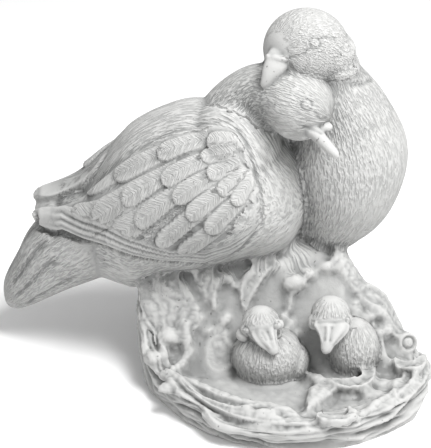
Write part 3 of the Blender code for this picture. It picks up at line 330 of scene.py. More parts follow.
# Heights above the near and the far surroundings that count as fully raised, which set the painted highlight
# and painted shade of the stone
RAISED_NEAR = 0.8
RAISED_FAR = 7.0
NEAR_ROUNDS = 3
FAR_ROUNDS = 24

# Tones of the stone: painted shade in the recesses, painted highlight on what stands up, and darker painted
# shade in the crevices and pores
STONE_RECESS_SHADE = (0.22, 0.223, 0.22, 1)
STONE_RAISED_HIGHLIGHT = (0.45, 0.45, 0.443, 1)
STONE_CREVICE_SHADE = (0.07, 0.07, 0.068, 1)

# Camera and light, in millimetres from the foot's middle
LOOK_AT = (-53.2, 0.0, 123.4)
CAMERA_TILT = 27.0
CAMERA_DISTANCE = 1200.0
FRAME_HEIGHT_PX = 448
FOCAL_PX = 1724.4
SENSOR = 36.0
SURROUND_STRENGTH = 0.54
FLOOR_TONE = (0.94, 0.94, 0.94, 1)
FLOOR_ROUGHNESS = 0.9
FLOOR_HALF_SIZE = 6.0

# Lights: name, offset from the point looked at in metres, watts and size in metres
LIGHTS = [("key", (0.45, -0.42, 1.2), 30, 0.6), ("fill", (0.5, -1.3, 0.7), 2.0, 0.9)]


def smooth_rows(stations, steps):
    """Rows of a Catmull-Rom curve through the stations."""
    rows = np.array(stations, float)
    rows = np.vstack([2 * rows[0] - rows[1], rows, 2 * rows[-1] - rows[-2]])
    share = np.linspace(0, 1, steps, endpoint=False)[:, None]
    spans = []
    for i in range(1, len(rows) - 2):
        before, start, end, after = rows[i - 1:i + 3]
        line = end - before
        bend = 2 * before - 5 * start + 4 * end - after
        twist = 3 * start - before - 3 * end + after
        spans.append(0.5 * (2 * start + line * share + bend * share ** 2 + twist * share ** 3))
    spans.append(rows[-2:-1])
    return np.vstack(spans)


def ease(value, low, high):
    """Smooth step from 0 at low to 1 at high."""
    share = np.clip((value - low) / (high - low), 0, 1)
    return share * share * (3 - 2 * share)


class Loft:
    """A rounded form drawn by ellipses along a smooth spine, square to it or upright across X."""

    def __init__(self, stations, side=(0, 1, 0), steps=8, upright=False):
        rows = smooth_rows(stations, steps)
        self.points = rows[:, :3]
        self.wide = np.maximum(rows[:, 3], 0.5)
        self.high = np.maximum(rows[:, 4], 0.5)
        self.upright = upright
        forward = np.gradient(self.points, axis=0)
        if upright:
            forward[:, 1:] = 0
        self.forward = forward / np.linalg.norm(forward, axis=1)[:, None]
        across = np.array(side, float) - self.forward * (self.forward @ np.array(side, float))[:, None]
        self.side = across / np.linalg.norm(across, axis=1)[:, None]
        self.up = np.cross(self.side, self.forward)
        steps_long = np.abs((np.diff(self.points, axis=0) * self.forward[1:]).sum(1))
        self.along = np.concatenate([[0], np.cumsum(steps_long)])

    def matrix(self, i):
        """Placement of the unit circle of station i."""
        place = np.eye(4)
        place[:3, 0] = self.side[i] * self.wide[i]
        place[:3, 1] = self.up[i] * self.high[i]
        place[:3, 2] = self.forward[i] * min(self.wide[i], self.high[i])
        place[:3, 3] = self.points[i]
        return Matrix(place.tolist())

    def build(self, bm, around=64):
        """Add the form as a closed shell."""
        ring = bmesh.ops.create_circle(bm, cap_ends=True, segments=around, radius=1,
                                       matrix=self.matrix(0))
        edges = list({e for v in ring["verts"] for e in v.link_edges})
        for i in range(1, len(self.points)):
            grown = bmesh.ops.extrude_edge_only(bm, edges=edges)["geom"]
            verts = [g for g in grown if isinstance(g, bmesh.types.BMVert)]
            verts_set = set(verts)
            edges = [g for g in grown if isinstance(g, bmesh.types.BMEdge)
                     and g.verts[0] in verts_set and g.verts[1] in verts_set]
            move = self.matrix(i) @ self.matrix(i - 1).inverted()
            bmesh.ops.transform(bm, matrix=move, verts=verts)
        bmesh.ops.contextual_create(bm, geom=edges)

    def local(self, points):
        """Distance along the spine, angle about it from the side axis, and share of the radius."""
        nearest = np.zeros(len(points), int)
        for start in range(0, len(points), 20000):
            part = points[start:start + 20000]
            axes = 1 if self.upright else 3
            gap = ((part[:, None, :axes] - self.points[None, :, :axes]) ** 2).sum(2)
            nearest[start:start + 20000] = gap.argmin(1)
        offset = points - self.points[nearest]
        ahead = (offset * self.forward[nearest]).sum(1)
        sideways = (offset * self.side[nearest]).sum(1) / self.wide[nearest]
        upward = (offset * self.up[nearest]).sum(1) / self.high[nearest]
        angle = np.arctan2(upward, sideways)
        return self.along[nearest] + ahead, angle, np.hypot(sideways, upward)

    def at(self, along, angle, out=0.0):
        """Point of the surface at a distance along the spine and an angle, moved out by out."""
        row = np.interp(along, self.along, np.arange(len(self.along)))
        low = np.minimum(row.astype(int), len(self.along) - 2)
        share = (row - low)[:, None]

        def between(values):
            if values.ndim == 1:
                values = values[:, None]
            return values[low] * (1 - share) + values[low + 1] * share

        out = np.broadcast_to(out, angle.shape)[:, None]
        side = between(self.side) * (np.cos(angle)[:, None] * (between(self.wide) + out))
        up = between(self.up) * (np.sin(angle)[:, None] * (between(self.high) + out))
        return between(self.points) + side + up


def ball(bm, middle, half_sizes):
    """Closed ellipsoid."""
    place = Matrix.Translation(Vector(middle)) @ Matrix.Diagonal((*half_sizes, 1))
    bmesh.ops.create_icosphere(bm, subdivisions=5, radius=1, matrix=place)


def rim_radius(x, y):
    """Reach of the mound's rim in the direction of a point."""
    turn = np.degrees(np.arctan2(y - FOOT_CENTRE_Y, x))
    return np.interp(turn, RIM_TURNS, RIM_REACH)


def hill_top(x, y):
    """Height of the mound's upper face."""
    crest = np.interp(x, HILL_X, HILL_Z)
    rise = ease(y, HILL_FRONT_Y, HILL_CREST_Y)
    reach = np.hypot(x, y - FOOT_CENTRE_Y) / rim_radius(x, y)
    floor = NEST_FLOOR + RIM_RISE * ease(reach, 0.72, 0.95)
    behind = BACK_SLOPE * np.maximum(y - HILL_CREST_Y, 0)
    crest = np.maximum(crest - behind, BACK_RIM)
    return floor + (crest - floor) * rise


def mound(bm):
    """Round mound: straight foot, slightly overhanging wall and the sloping nest top."""
    verts = bmesh.ops.create_grid(bm, x_segments=70, y_segments=160, size=1)["verts"]
    place = np.array([v.co for v in verts])
    inward = (place[:, 0] + 1) / 2
    turn = (place[:, 1] + 1) * math.pi
    climb = np.clip(inward / WALL_SHARE, 0, 1)
    rim = rim_radius(np.cos(turn), FOOT_CENTRE_Y + np.sin(turn))
    foot = rim * FOOT / RIM_RADIUS
    wall = inward < WALL_SHARE
    radius = np.where(wall, foot + (rim - foot) * ease(climb, 0, 0.8),
                      rim * (1 - inward) / (1 - WALL_SHARE))
    x = radius * np.cos(turn)
    y = FOOT_CENTRE_Y + radius * np.sin(turn)
    top = hill_top(x, y)
    z = np.where(wall, -BELOW_GROUND + (top + BELOW_GROUND) * climb, top)
    for v, px, py, pz in zip(verts, x, y, z):
        v.co = (px, py, pz)
    bmesh.ops.remove_doubles(bm, verts=verts, dist=0.001)
    bmesh.ops.contextual_create(bm, geom=[e for e in bm.edges if e.is_boundary])


class Wing:
    """Where a folded wing lies on its carrier form, and how its edges run."""

    def __init__(self, carrier, near, upper_edge, start=0.0, length=WING_LENGTH, step=STEP):
        self.carrier = carrier
        self.near = near
        self.upper_edge = upper_edge
        self.start = start
        self.size = length / WING_LENGTH
        self.step = step

    def edges(self, along):
        """Angles of the lower and upper edge at a distance from the shoulder."""
        return (np.interp(along, WING_ALONG, WING_LOWER),
                np.interp(along, WING_ALONG, self.upper_edge))

    def local(self, points):
        """Distances along and across the wing and inwards from its edge, in the lower wing's size."""
        along, angle, share = self.carrier.local(points)
        radius = np.interp(along, self.carrier.along, (self.carrier.wide + self.carrier.high) / 2)
        turn = np.degrees(angle if self.near else math.pi - angle) % 360
        along = (along - self.start) / self.size
        low, high = self.edges(along)
        millimetres = math.pi / 180 * radius / self.size
        inward = np.minimum(low - turn, turn - high) * millimetres
        front = WING_FRONT_ROUND * WING_LENGTH
        corner = np.clip(front - along, 0, None)
        rounded = front - np.hypot(corner, np.clip(front - inward, 0, None))
        inward = np.where(along < front, rounded, inward)
        inward = np.minimum(inward, WING_LENGTH - 6 - along)
        inward = np.where((share > 0.9) & (share < 1.35), inward, -99)
        return along, (turn - 180) * millimetres, (low - turn) * millimetres, inward


def wings():
    """The lower bird's two wings and the upper bird's two wings."""
    mantle = Loft(LOWER_MANTLE, upright=True)
    back = Loft(UPPER_BACK, side=(1, 0, 0))
    return [Wing(mantle, True, WING_UPPER), Wing(mantle, False, WING_UPPER_FAR),
            Wing(back, True, WING_UPPER, **UPPER_WING), Wing(back, False, WING_UPPER, **UPPER_WING)]


def rounded_end(share):
    """Width of a rounded end, from nearly 0 at its tip to 1."""
    return np.sqrt(np.clip(1 - (1 - np.clip(share, 0, 1)) ** 2, 0.0004, 1))


def wing(bm, place_on):
    """Folded wing: a patch of the carrier form, standing out by the wing's step at its lower edge."""
    verts = bmesh.ops.create_grid(bm, x_segments=120, y_segments=60, size=1)["verts"]
    place = np.array([v.co for v in verts])
    share = (place[:, 0] + 1) / 2
    across = place[:, 1]
    low, high = place_on.edges(share * WING_LENGTH)
    rounding = rounded_end(share / WING_FRONT_ROUND) * rounded_end((1 - share) / WING_REAR_ROUND)
    angle = np.radians((low + high) / 2 + (low - high) / 2 * across * rounding)
    if not place_on.near:
        angle = math.pi - angle
    lift = place_on.step * ease(share, 0, WING_LIFT_SHARE)
    out = lift - (lift - WING_UPPER_STEP) * ease(-across, 0.1, 0.9)
    along = place_on.start + share * WING_LENGTH * place_on.size
    for v, point in zip(verts, place_on.carrier.at(along, angle, out)):
        v.co = point
    bmesh.ops.recalc_face_normals(bm, faces=bm.faces)
    middle = Vector(place_on.carrier.points[len(place_on.carrier.points) // 3])
    outward = sum((f.normal.dot(f.calc_center_median() - middle)) for f in bm.faces)
    inward = WING_THICKNESS if outward > 0 else -WING_THICKNESS
    bmesh.ops.solidify(bm, geom=bm.faces[:], thickness=inward)


def leaf(bm, path, half_width, cup, ribs, widest):
    """Thick leaf that lies over the mound along a path of x, y and lift."""
    line = smooth_rows(path, 12)
    verts = bmesh.ops.create_grid(bm, x_segments=60, y_segments=30, size=1)["verts"]
    place = np.array([v.co for v in verts])
    share = (place[:, 0] + 1) / 2
    across = place[:, 1]
    row = share * (len(line) - 1)
    count = np.arange(len(line))
    x, y, lift = (np.interp(row, count, line[:, k]) for k in range(3))
    run = np.gradient(line[:, :2], axis=0)
    run /= np.linalg.norm(run, axis=1)[:, None]
    side_x = np.interp(row, count, -run[:, 1])
    side_y = np.interp(row, count, run[:, 0])
    swell = np.sin(math.pi * share ** (math.log(0.5) / math.log(widest))) ** 0.7
    reach = half_width * np.maximum(swell, 0.12) * across
    x = x + side_x * reach
    y = y + side_y * reach
    veins = np.cos(across * math.pi * ribs) if ribs > 1 else -np.exp(-(across / 0.2) ** 2)
    z = hill_top(x, y) + lift + LEAF_LIFT + cup * across ** 2 + LEAF_RIB * veins
    for v, px, py, pz in zip(verts, x, y, z):
        v.co = (px, py, pz)
    sheet = bmesh.ops.extrude_face_region(bm, geom=bm.faces[:], use_keep_orig=True)["geom"]
    under = [g for g in sheet if isinstance(g, bmesh.types.BMVert)]
    bmesh.ops.translate(bm, vec=(0, 0, -LEAF), verts=under)


def twig(bm, path, radius_share):
    """Round twig that lies over the mound along a path of x, y and lift."""
    line = smooth_rows(path, 4)
    radius = TWIG * radius_share
    stations = []
    for i, (x, y, lift) in enumerate(line):
        end = min(i, len(line) - 1 - i)
        width = radius * (0.5, 0.9, 1.0)[min(end, 2)]
        stations.append((x, y, float(hill_top(x, y)) + lift, width, width))
    Loft(stations, side=(0.3, 0.2, 1), steps=3).build(bm, 16)


def lump(bm, x, y, lift, *half_sizes):
    """Rounded lump on the mound."""
    ball(bm, (x, y, float(hill_top(x, y)) + lift), half_sizes)


def rosette_rings():
    """Paths of the rings that lie on the nest floor."""
    x, y, lift = ROSETTE
    turns = np.linspace(0, 2 * math.pi, 25)
    return [[(x + radius * math.cos(t), y + radius * math.sin(t), lift) for t in turns]
            for radius in ROSETTE_RINGS]


def rolled_leaf(bm):
    """Rolled leaf seen end on, at the right edge."""
    x, y, lift = ROLLED_LEAF
    middle = np.array([x, y, float(hill_top(x, y)) + lift])
    half = np.array(ROLLED_LEAF_AXIS) * ROLLED_LEAF_LENGTH / 2
    r = ROLLED_LEAF_RADIUS
    rows = [(*(middle - half), r * 0.8, r * 0.8), (*(middle - half * 0.8), r, r),
            (*(middle + half * 0.8), r, r), (*(middle + half), r * 0.8, r * 0.8)]
    Loft(rows, side=(1, 0, 0), steps=3).build(bm, 32)


def back_leaf_paths():
    """Paths of the plainer leaves on the hidden rim."""
    paths = []
    for turn in BACK_LEAF_TURNS:
        angle = math.radians(turn)
        reach = float(rim_radius(math.cos(angle), FOOT_CENTRE_Y + math.sin(angle))) * BACK_LEAF_REACH
        half_turn = BACK_LEAF_LENGTH / 2 / reach
        paths.append([(reach * math.cos(a), FOOT_CENTRE_Y + reach * math.sin(a), lift)
                      for a, lift in ((angle - half_turn, 1), (angle, 3), (angle + half_turn, 1))])
    return paths


def add_shell(skin, build, *values):
    """Build one closed shell by itself and add it to the skin."""
    bm = bmesh.new()
    build(bm, *values)
    bmesh.ops.recalc_face_normals(bm, faces=bm.faces)
    mesh = bpy.data.meshes.new("shell")
    bm.to_mesh(mesh)
    bm.free()
    skin.from_mesh(mesh)
    bpy.data.meshes.remove(mesh)


def soft_shells():
    """The forms that a fillet joins, as overlapping closed shells."""
    skin = bmesh.new()
    add_shell(skin, mound)
    add_shell(skin, Loft(LOWER_BODY, upright=True).build)
    for stations in (LOWER_NECK, LOWER_TAIL):
        add_shell(skin, Loft(stations).build)
    for stations in (UPPER_BREAST, UPPER_BACK, UPPER_TAIL):
        add_shell(skin, Loft(stations, side=(1, 0, 0)).build)
    for middle, half_sizes in (*SOFT_BALLS, *CHICK_BODIES, *CHICK_HEADS):
        add_shell(skin, ball, middle, half_sizes)
    for place_on in wings():
        add_shell(skin, wing, place_on)
    for row in LEAVES:
        add_shell(skin, leaf, *row)
    for path in back_leaf_paths():
        add_shell(skin, leaf, path, *BACK_LEAF)
    for row in TWIGS:
        add_shell(skin, twig, *row)
    for ring in rosette_rings():
        add_shell(skin, twig, ring, ROSETTE_RING_SHARE)
    for row in (*LUMPS, ROSETTE_KNOB):
        add_shell(skin, lump, *row)
    add_shell(skin, rolled_leaf)
    return skin


def crisp_shells():
    """The bills and the lumps beside them, which meet the heads in a crease."""
    skin = bmesh.new()
    add_shell(skin, Loft(LOWER_BEAK).build, 32)
    for stations in (UPPER_BEAK, UPPER_CERE, *CHICK_BEAKS):
        add_shell(skin, Loft(stations, side=(1, 0, 0)).build, 32)
    for middle, half_sizes in (LOWER_CERE, *CHICK_CHEEKS):
        add_shell(skin, ball, middle, half_sizes)
    return skin


def feather_tips():
    """Feathers of a wing from the tail to the shoulder: tip, lean, length and half width."""
    tips = list(LONG_FEATHERS)
    for reach, turns, length, half_width in FEATHER_ROWS:
        for turn in turns:
            angle = math.radians(turn)
            stretched = reach * (1 + FEATHER_STRETCH * math.exp(-((turn + 8) / 24) ** 2))
            place = (FEATHER_MIDDLE[0] + stretched * math.cos(angle),
                     FEATHER_MIDDLE[1] + stretched * math.sin(angle))
            lean = FEATHER_LEAN + turn * (0.72 - 0.003 * reach)
            tips.append((*place, lean, length, half_width))
    return tips


def feather_relief(along, across):
    """Height of the overlapping feathers, places along the barbs, what is covered, and how clear of edges."""
    height = np.zeros(len(along))
    barbs = np.zeros((len(along), 3))
    covered = np.zeros(len(along), bool)
    clear = np.ones(len(along))
    for number, (tip_along, tip_across, lean, length, half_width) in enumerate(feather_tips()):
        angle = math.radians(lean)
        ahead = along - tip_along
        beside = across - tip_across
        back = -(ahead * math.cos(angle) + beside * math.sin(angle))
        off = beside * math.cos(angle) - ahead * math.sin(angle)
        share = np.clip(back / length, 0, 1)
        outline = half_width * rounded_end(back / (1.1 * half_width)) * (1 - 0.3 * share)
        past = np.maximum(np.abs(off) - outline, np.maximum(-back, back - length))
        inside = past < 0
        edge = ease(-past, 0, FEATHER_EDGE)
        crown = RELIEF * (1 - 0.75 * share) * (1 - 0.25 * (off / half_width) ** 2)
        shaft = SHAFT * np.exp(-(off / SHAFT_WIDTH) ** 2) * (1 - share)
        height = np.where(inside, height * (1 - edge) + (crown + shaft) * edge, height)
        slanted = BARB_CLOSENESS * (back + BARB_SLANT * np.abs(off))
        barb = np.stack([np.abs(off), slanted, np.full(len(off), 700 + 20.0 * number)], 1)
        barbs[inside] = barb[inside]
        covered |= inside
        clear = np.where(inside, edge, clear * ease(past, 0, FEATHER_EDGE))
    return height, barbs, covered, clear


def carve_wings(points):
    """Feathers, the long streaks along the lower edge and the hollow round each wing."""
    move = np.zeros(len(points))
    for place_on in wings():
        along, across, above_edge, inward = place_on.local(points)
        height = feather_relief(along, across)[0]
        on_wing = ease(inward, 0.5, 2.5) * ease(WING_LENGTH - along, 12, 26)
        streaks = np.sin(above_edge * 2 * math.pi / STREAK_PITCH) * STREAK_HEIGHT
        in_band = ease(-above_edge, -STREAK_BAND, -STREAK_BAND + 3)
        height = height * (1 - 0.7 * in_band) + streaks * in_band
        move += on_wing * height * place_on.size
        under_edge = ease(along, 25, 55) * ease(-above_edge, -12, -4)
        hollow = WING_MOAT * (WING_MOAT_LEAST + (1 - WING_MOAT_LEAST) * under_edge)
        half_width = WING_MOAT_WIDTH / 2
        move -= hollow * np.exp(-((inward + half_width) / half_width) ** 2) * place_on.size
    return move


def carve_tail(points):
    """Long grooves between the tail feathers."""
    tail = Loft(LOWER_TAIL)
    along, angle, share = tail.local(points)
    degrees = np.degrees(angle) % 360
    on_tail = ease(along, TAIL_GROOVE_START, TAIL_GROOVE_START + 12) * ease(-share, -1.3, -1.1)
    on_tail *= ease(tail.along[-1] - along, 14, 26)
    move = np.zeros(len(points))
    for groove in TAIL_GROOVE_TURNS:
        move -= on_tail * GROOVE * np.exp(-((degrees - groove) / 6.0) ** 2)
    return move


def ring_noise(turn, path, pattern, shift=0.0):
    """Noise round the mound: a pattern is how often it changes round it and across."""
    often_round, often_across = pattern
    place = (often_round * math.cos(turn), often_round * math.sin(turn), often_across * path + shift)
    return noise.noise(Vector(place))


def strands(turn, path):
    """Long ragged strands that run round the mound."""
    wave = ring_noise(turn, path, STRAND_WAVE)
    long_strands = 1 - STRAND_SHARPNESS * abs(ring_noise(turn, path, STRAND, STRAND_SWAY * wave))
    fibres = ring_noise(turn, path, FIBRE, FIBRE_SWAY * wave)
    ragged = ring_noise(turn, path, RAGGED_EDGE)
    return STRAND_SHARE * long_strands + FIBRE_SHARE * fibres + RAGGED_SHARE * ragged - STRAND_SUNK


def rough_cast(point, size):
    """Uneven surface of the nest, with rounded lumps of a size between creases."""
    return CAST_CREASE * abs(noise.noise(Vector(point) / size)) - CAST_RISE


def on_chicks(points):
    """How far each point belongs to a chick, from 0 to 1."""
    share = np.full(len(points), 9.0)
    for middle, half_sizes in (*CHICK_BODIES, *CHICK_HEADS, *CHICK_CHEEKS):
        share = np.minimum(share, np.linalg.norm((points - np.array(middle)) / np.array(half_sizes), axis=1))
    return ease(-share, -1.4, -1.15)


def carve_nest(points, normals):
    """Strands round the mound's wall and rim, and its uneven top."""
    x, y, z = points.T
    rim = rim_radius(x, y)
    radius = np.hypot(x, y - FOOT_CENTRE_Y)
    top = hill_top(x, y)
    outward = (normals[:, 0] * x + normals[:, 1] * (y - FOOT_CENTRE_Y)) / np.maximum(radius, 1)
    turn = np.arctan2(y - FOOT_CENTRE_Y, x)
    reach = radius / rim
    on_wall = ease(reach, 0.86, 0.93) * ease(-reach, -1.2, -1.15) * ease(outward, 0.1, 0.45)
    on_wall *= ease(top + 3 - z, 0, 3) * ease(z, 0.2, 2)
    on_top = ease(reach, 0.8, 0.92) * ease(z - top, -6, -1) * ease(top + 9 - z, 0, 4) * ease(-y, 0, 20)
    path = np.where(on_wall > on_top, z - top, rim - radius)
    weight = np.maximum(on_wall, STRANDS_ON_TOP * on_top)
    move = np.zeros(len(points))
    for i in np.flatnonzero(weight > 0.01):
        move[i] = weight[i] * BARK * strands(turn[i], path[i])
    nest = ease(z - top, -6, -1) * ease(top + 16 - z, 0, 6) * ease(-reach, -1.15, -1.05)
    proud = ease(z - top, 1.5, 4.5)
    nest *= np.maximum(0.25 + 0.75 * ease(reach, 0.7, 0.92), proud) * (1 - 0.7 * on_chicks(points))
    for i in np.flatnonzero(nest > 0.01):
        move[i] += nest[i] * (CAST_COARSE * rough_cast(points[i], CAST_COARSE_SIZE)
                              + CAST_FINE * rough_cast(points[i], CAST_FINE_SIZE))
    return move


def carve_bills(points):
    """Ridges down the chicks' broad bills."""
    move = np.zeros(len(points))
    for stations in CHICK_BEAKS:
        along, angle, share = Loft(stations, side=(1, 0, 0)).local(points)
        on_bill = ease(along, 4, 7) * ease(1.5 - share, 0, 0.3) * ease(21 - along, 0, 4)
        move += on_bill * BILL_RIDGE * np.cos(angle * BILL_RIDGES)
    return move


def carve_roll(points):
    """Spiral end of the rolled leaf."""
    x, y, lift = ROLLED_LEAF
    axis = np.array(ROLLED_LEAF_AXIS)
    offset = points - np.array([x, y, float(hill_top(x, y)) + lift])
    along = offset @ axis
    gap = np.linalg.norm(offset - along[:, None] * axis, axis=1)
    at_end = ease(-along, 2, 5) * ease(along, -14, -12) * (gap < ROLLED_LEAF_RADIUS + 1)
    return -at_end * ROLL_GROOVE * np.exp(-((gap / ROLLED_LEAF_RADIUS - 0.55) / 0.16) ** 2)


def carve_folds(points):
    """Narrow folds beside the eyes, bills and collar."""
    move = np.zeros(len(points))
    for path, depth, width in FOLDS:
        line = smooth_rows(path, 6)
        low, high = line.min(0) - 4 * width, line.max(0) + 4 * width
        near = np.flatnonzero(((points > low) & (points < high)).all(1))
        gap = np.full(len(near), 99.0)
        for start, end in zip(line[:-1], line[1:]):
            run = end - start
            share = np.clip((points[near] - start) @ run / (run @ run), 0, 1)
            gap = np.minimum(gap, np.linalg.norm(points[near] - start - share[:, None] * run, axis=1))
        move[near] -= depth * np.exp(-(gap / width) ** 2)
    return move


def carve_eyes(points):
    """Domed eyes in shallow rings."""
    move = np.zeros(len(points))
    for middle, size in EYES:
        gap = np.linalg.norm(points - np.array(middle), axis=1)
        dome = np.sqrt(np.clip(1 - (gap / size) ** 2, 0, 1))
        move += 0.3 * size * dome - 0.1 * size * np.exp(-((gap / size - 1.15) / 0.22) ** 2)
        move += 0.1 * size * np.exp(-((gap / size - 1.65) / 0.25) ** 2)
    return move


def mesh_values(mesh, value="co"):
    """Places or normals of the mesh's vertices."""
    points = np.empty(len(mesh.vertices) * 3)
    mesh.vertices.foreach_get(value, points)
    return points.reshape(-1, 3)


def edge_ends(mesh):
    """The two vertices of each edge."""
    ends = np.empty(len(mesh.edges) * 2, int)
    mesh.edges.foreach_get("vertices", ends)
    return ends.reshape(-1, 2)


def carve(mesh):
    """Move every point of the fused skin along its normal by the carving."""
    points = mesh_values(mesh)
    normals = mesh_values(mesh, "normal")
    move = carve_wings(points) + carve_tail(points) + carve_nest(points, normals) + carve_eyes(points)
    move += carve_bills(points) + carve_folds(points) + carve_roll(points)
    points = points + normals * move[:, None]
    mesh.vertices.foreach_set("co", points.ravel())
    mesh.update()


def neighbours_mean(points, edges, rounds):
    """Points after each is moved to the mean of its neighbours a number of times."""
    count = np.bincount(edges.ravel(), minlength=len(points))[:, None]
    for _ in range(rounds):
        total = np.zeros_like(points)
        for axis in range(3):
            total[:, axis] = np.bincount(edges[:, 0], points[edges[:, 1], axis], len(points))
            total[:, axis] += np.bincount(edges[:, 1], points[edges[:, 0], axis], len(points))
        points = total / np.maximum(count, 1)
    return points


def standing_up(mesh):
    """How far each point stands up from what is round it, from -1 to 1."""
    points = mesh_values(mesh)
    normals = mesh_values(mesh, "normal")
    edges = edge_ends(mesh)
    near = ((points - neighbours_mean(points, edges, NEAR_ROUNDS)) * normals).sum(1)
    far = ((points - neighbours_mean(points, edges, FAR_ROUNDS)) * normals).sum(1)
    return np.clip(near / RAISED_NEAR + far / RAISED_FAR, -1, 1)


def seen_from_front(stations, swapped=False, **settings):
    """The form of the stations with its angle counted from the front, so that it closes at the back."""
    rows = [(x, y, z, high, wide) if swapped else (x, y, z, wide, high) for x, y, z, wide, high in stations]
    return Loft(rows, side=(0, -1, 0), **settings)


def ball_rows(middle, half_sizes):
    """Stations down a ball."""
    (x, y, z), (wide, deep, high) = middle, half_sizes
    return [(x, y, z + high * k, wide * math.sqrt(1 - k * k), deep * math.sqrt(1 - k * k))
            for k in (0.98, 0.83, 0.5, 0, -0.5, -0.83, -0.98)]


def plumage_forms():
    """The feathered forms: half size, how short and bold the strokes are, how far off they reach."""
    forms = [(seen_from_front(LOWER_NECK), 24, 1.2, 1, 8), (seen_from_front(LOWER_TAIL), 28, 1, 1, 6),
             (seen_from_front(UPPER_BREAST, True), 34, 1, 1, 8),
             (seen_from_front(UPPER_BACK, True), 34, 1, 1, 8),
             (seen_from_front(UPPER_TAIL, True), 14, 1, 1, 4),
             (seen_from_front(UPPER_HEAD_ROWS, True), 29, 2.2, 1, 9)]
    for middle, half_sizes in (*CHICK_BODIES, *CHICK_HEADS, CHICK_CHEEKS[-1]):
        forms.append((seen_from_front(ball_rows(middle, half_sizes), True), half_sizes[0], 1.2, 1.3, 2.5))
    return forms


def round_the_wing(points):
    """Strokes of the lower bird's body run round its wings; how near each point is to the body."""
    body = Loft(LOWER_BODY, upright=True)
    mantle = Loft(LOWER_MANTLE, upright=True)
    along, angle, share = body.local(points)
    carrier_share = mantle.local(points)[2]
    miss = np.minimum(np.abs(share - 1), np.abs(carrier_share - 1)) * 25
    miss = np.where((along < -3) | (along > body.along[-1] + 3), 99, miss)
    turn = np.degrees(angle) % 360
    near = turn > 90
    turn = np.where(near, turn, 180 - turn)
    turn = np.where(turn > 270, turn - 360, turn)
    ahead = (along - ROUND_MIDDLE[0]) / ROUND_SIZE[0]
    beside = np.radians(turn - ROUND_MIDDLE[1]) * 50 / ROUND_SIZE[1]
    flow = np.stack([np.arctan2(beside, -ahead) * ROUND_SIZE[1], np.hypot(ahead, beside) * ROUND_SIZE[1],
                     np.where(near, 500.0, 560.0)], 1)
    parting = 1 - np.exp(-((np.degrees(angle) % 360 - 90) / 3.0) ** 2)
    return flow, miss, parting


def plumage_flow(points):
    """For each point the place along and across the plumage strokes, and how far it is plumage."""
    flow, best, parting = round_the_wing(points)
    on_body = best < 99
    second = np.full(len(points), 99.0)
    room = np.full(len(points), 9.0)
    pole = np.ones(len(points))
    for number, (form, size, shorter, bolder, reach) in enumerate(plumage_forms()):
        along, angle, share = form.local(points)
        miss = np.abs(share - 1) * size
        miss = np.where((along < -3) | (along > form.along[-1] + 3) | (miss > reach), 99, miss)
        closer = miss < best
        room = np.where(closer, reach, room)
        pole = np.where(closer, ease(along, 0, 2.5), pole)
        second = np.where(closer, best, np.minimum(second, miss))
        here = np.stack([along * shorter, angle * size / bolder, np.full(len(points), number * 40.0)], 1)
        flow[closer] = here[closer]
        on_body &= ~closer
        best = np.minimum(best, miss)
    amount = ease(second - best, 0, 2.0) * (1 - ease(best / room, 0.5, 1)) * pole
    amount *= np.where(on_body, parting, 1)
    for place_on in wings():
        along, across, above_edge, inward = place_on.local(points)
        barbs, covered, clear = feather_relief(along, across)[1:]
        on_wing = (inward > 2) & (above_edge > STREAK_BAND)
        flow[on_wing & covered] = barbs[on_wing & covered]
        amount[on_wing & covered] = BARB_STROKES
        amount *= np.where(on_wing, clear, 1)
        amount *= np.where(inward > -2, ease(np.abs(inward - 2), 0, 1.5), 1)
        above_streaks = ease(above_edge, STREAK_BAND, STREAK_BAND + 2)
        amount *= np.where(inward > 0, STREAK_STROKES + (1 - STREAK_STROKES) * above_streaks, 1)
    for stations in (LOWER_BEAK, UPPER_BEAK, *CHICK_BEAKS):
        form = Loft(stations, side=(1, 0, 0))
        along, angle, share = form.local(points)
        on_bill = (along > 3) & (along < form.along[-1] + 3)
        amount *= np.where(on_bill, ease(share, 1.15, 1.45), 1)
    return flow, amount


def remember(mesh, name, kind, values):
    """Keep a value for every vertex of the mesh."""
    layer = mesh.attributes.new(name, kind, "POINT")
    layer.data.foreach_set("vector" if kind == "FLOAT_VECTOR" else "value", values.ravel())


def surface_values(mesh):
    """Values that the stone's material follows."""
    flow, amount = plumage_flow(mesh_values(mesh))
    remember(mesh, "flow", "FLOAT_VECTOR", flow)
    remember(mesh, "plumage", "FLOAT", amount)
    remember(mesh, "raised", "FLOAT", standing_up(mesh))


def in_nest(points):
    """How far each point is part of the nest, from 0 to 1."""
    x, y, z = points.T
    reach = np.hypot(x, y - FOOT_CENTRE_Y) / rim_radius(x, y)
    return ease(hill_top(x, y) + 26 - z, 0, 12) * ease(-reach, -1.25, -1.15)


def settle_nest(mesh):
    """Soften the nest's pieces into the mound, as an old, much used mould leaves them."""
    points = mesh_values(mesh)
    edges = edge_ends(mesh)
    weight = 0.5 * in_nest(points)[:, None]
    for _ in range(NEST_SOFTENING):
        points = points + weight * (neighbours_mean(points, edges, 1) - points)
    mesh.vertices.foreach_set("co", points.ravel())
    mesh.update()


def swell(mesh, share):
    """Move the skin out by a share of the fillet radius, which is larger in the nest."""
    points = mesh_values(mesh)
    radius = FILLET + (NEST_FILLET - FILLET) * in_nest(points)
    points = points + mesh_values(mesh, "normal") * (share * radius)[:, None]
    mesh.vertices.foreach_set("co", points.ravel())
    mesh.update()


def applied(item):
    """Replace the object's mesh by its evaluated one and drop its modifiers."""
    graph = bpy.context.evaluated_depsgraph_get()
    mesh = bpy.data.meshes.new_from_object(item.evaluated_get(graph))
    old = item.data
    item.modifiers.clear()
    item.data = mesh
    bpy.data.meshes.remove(old)


def fuse(item):
    """Fuse the overlapping shells into one skin."""
    fusing = item.modifiers.new("fuse", "REMESH")
    fusing.mode = "VOXEL"
    fusing.voxel_size = GRAIN
    applied(item)


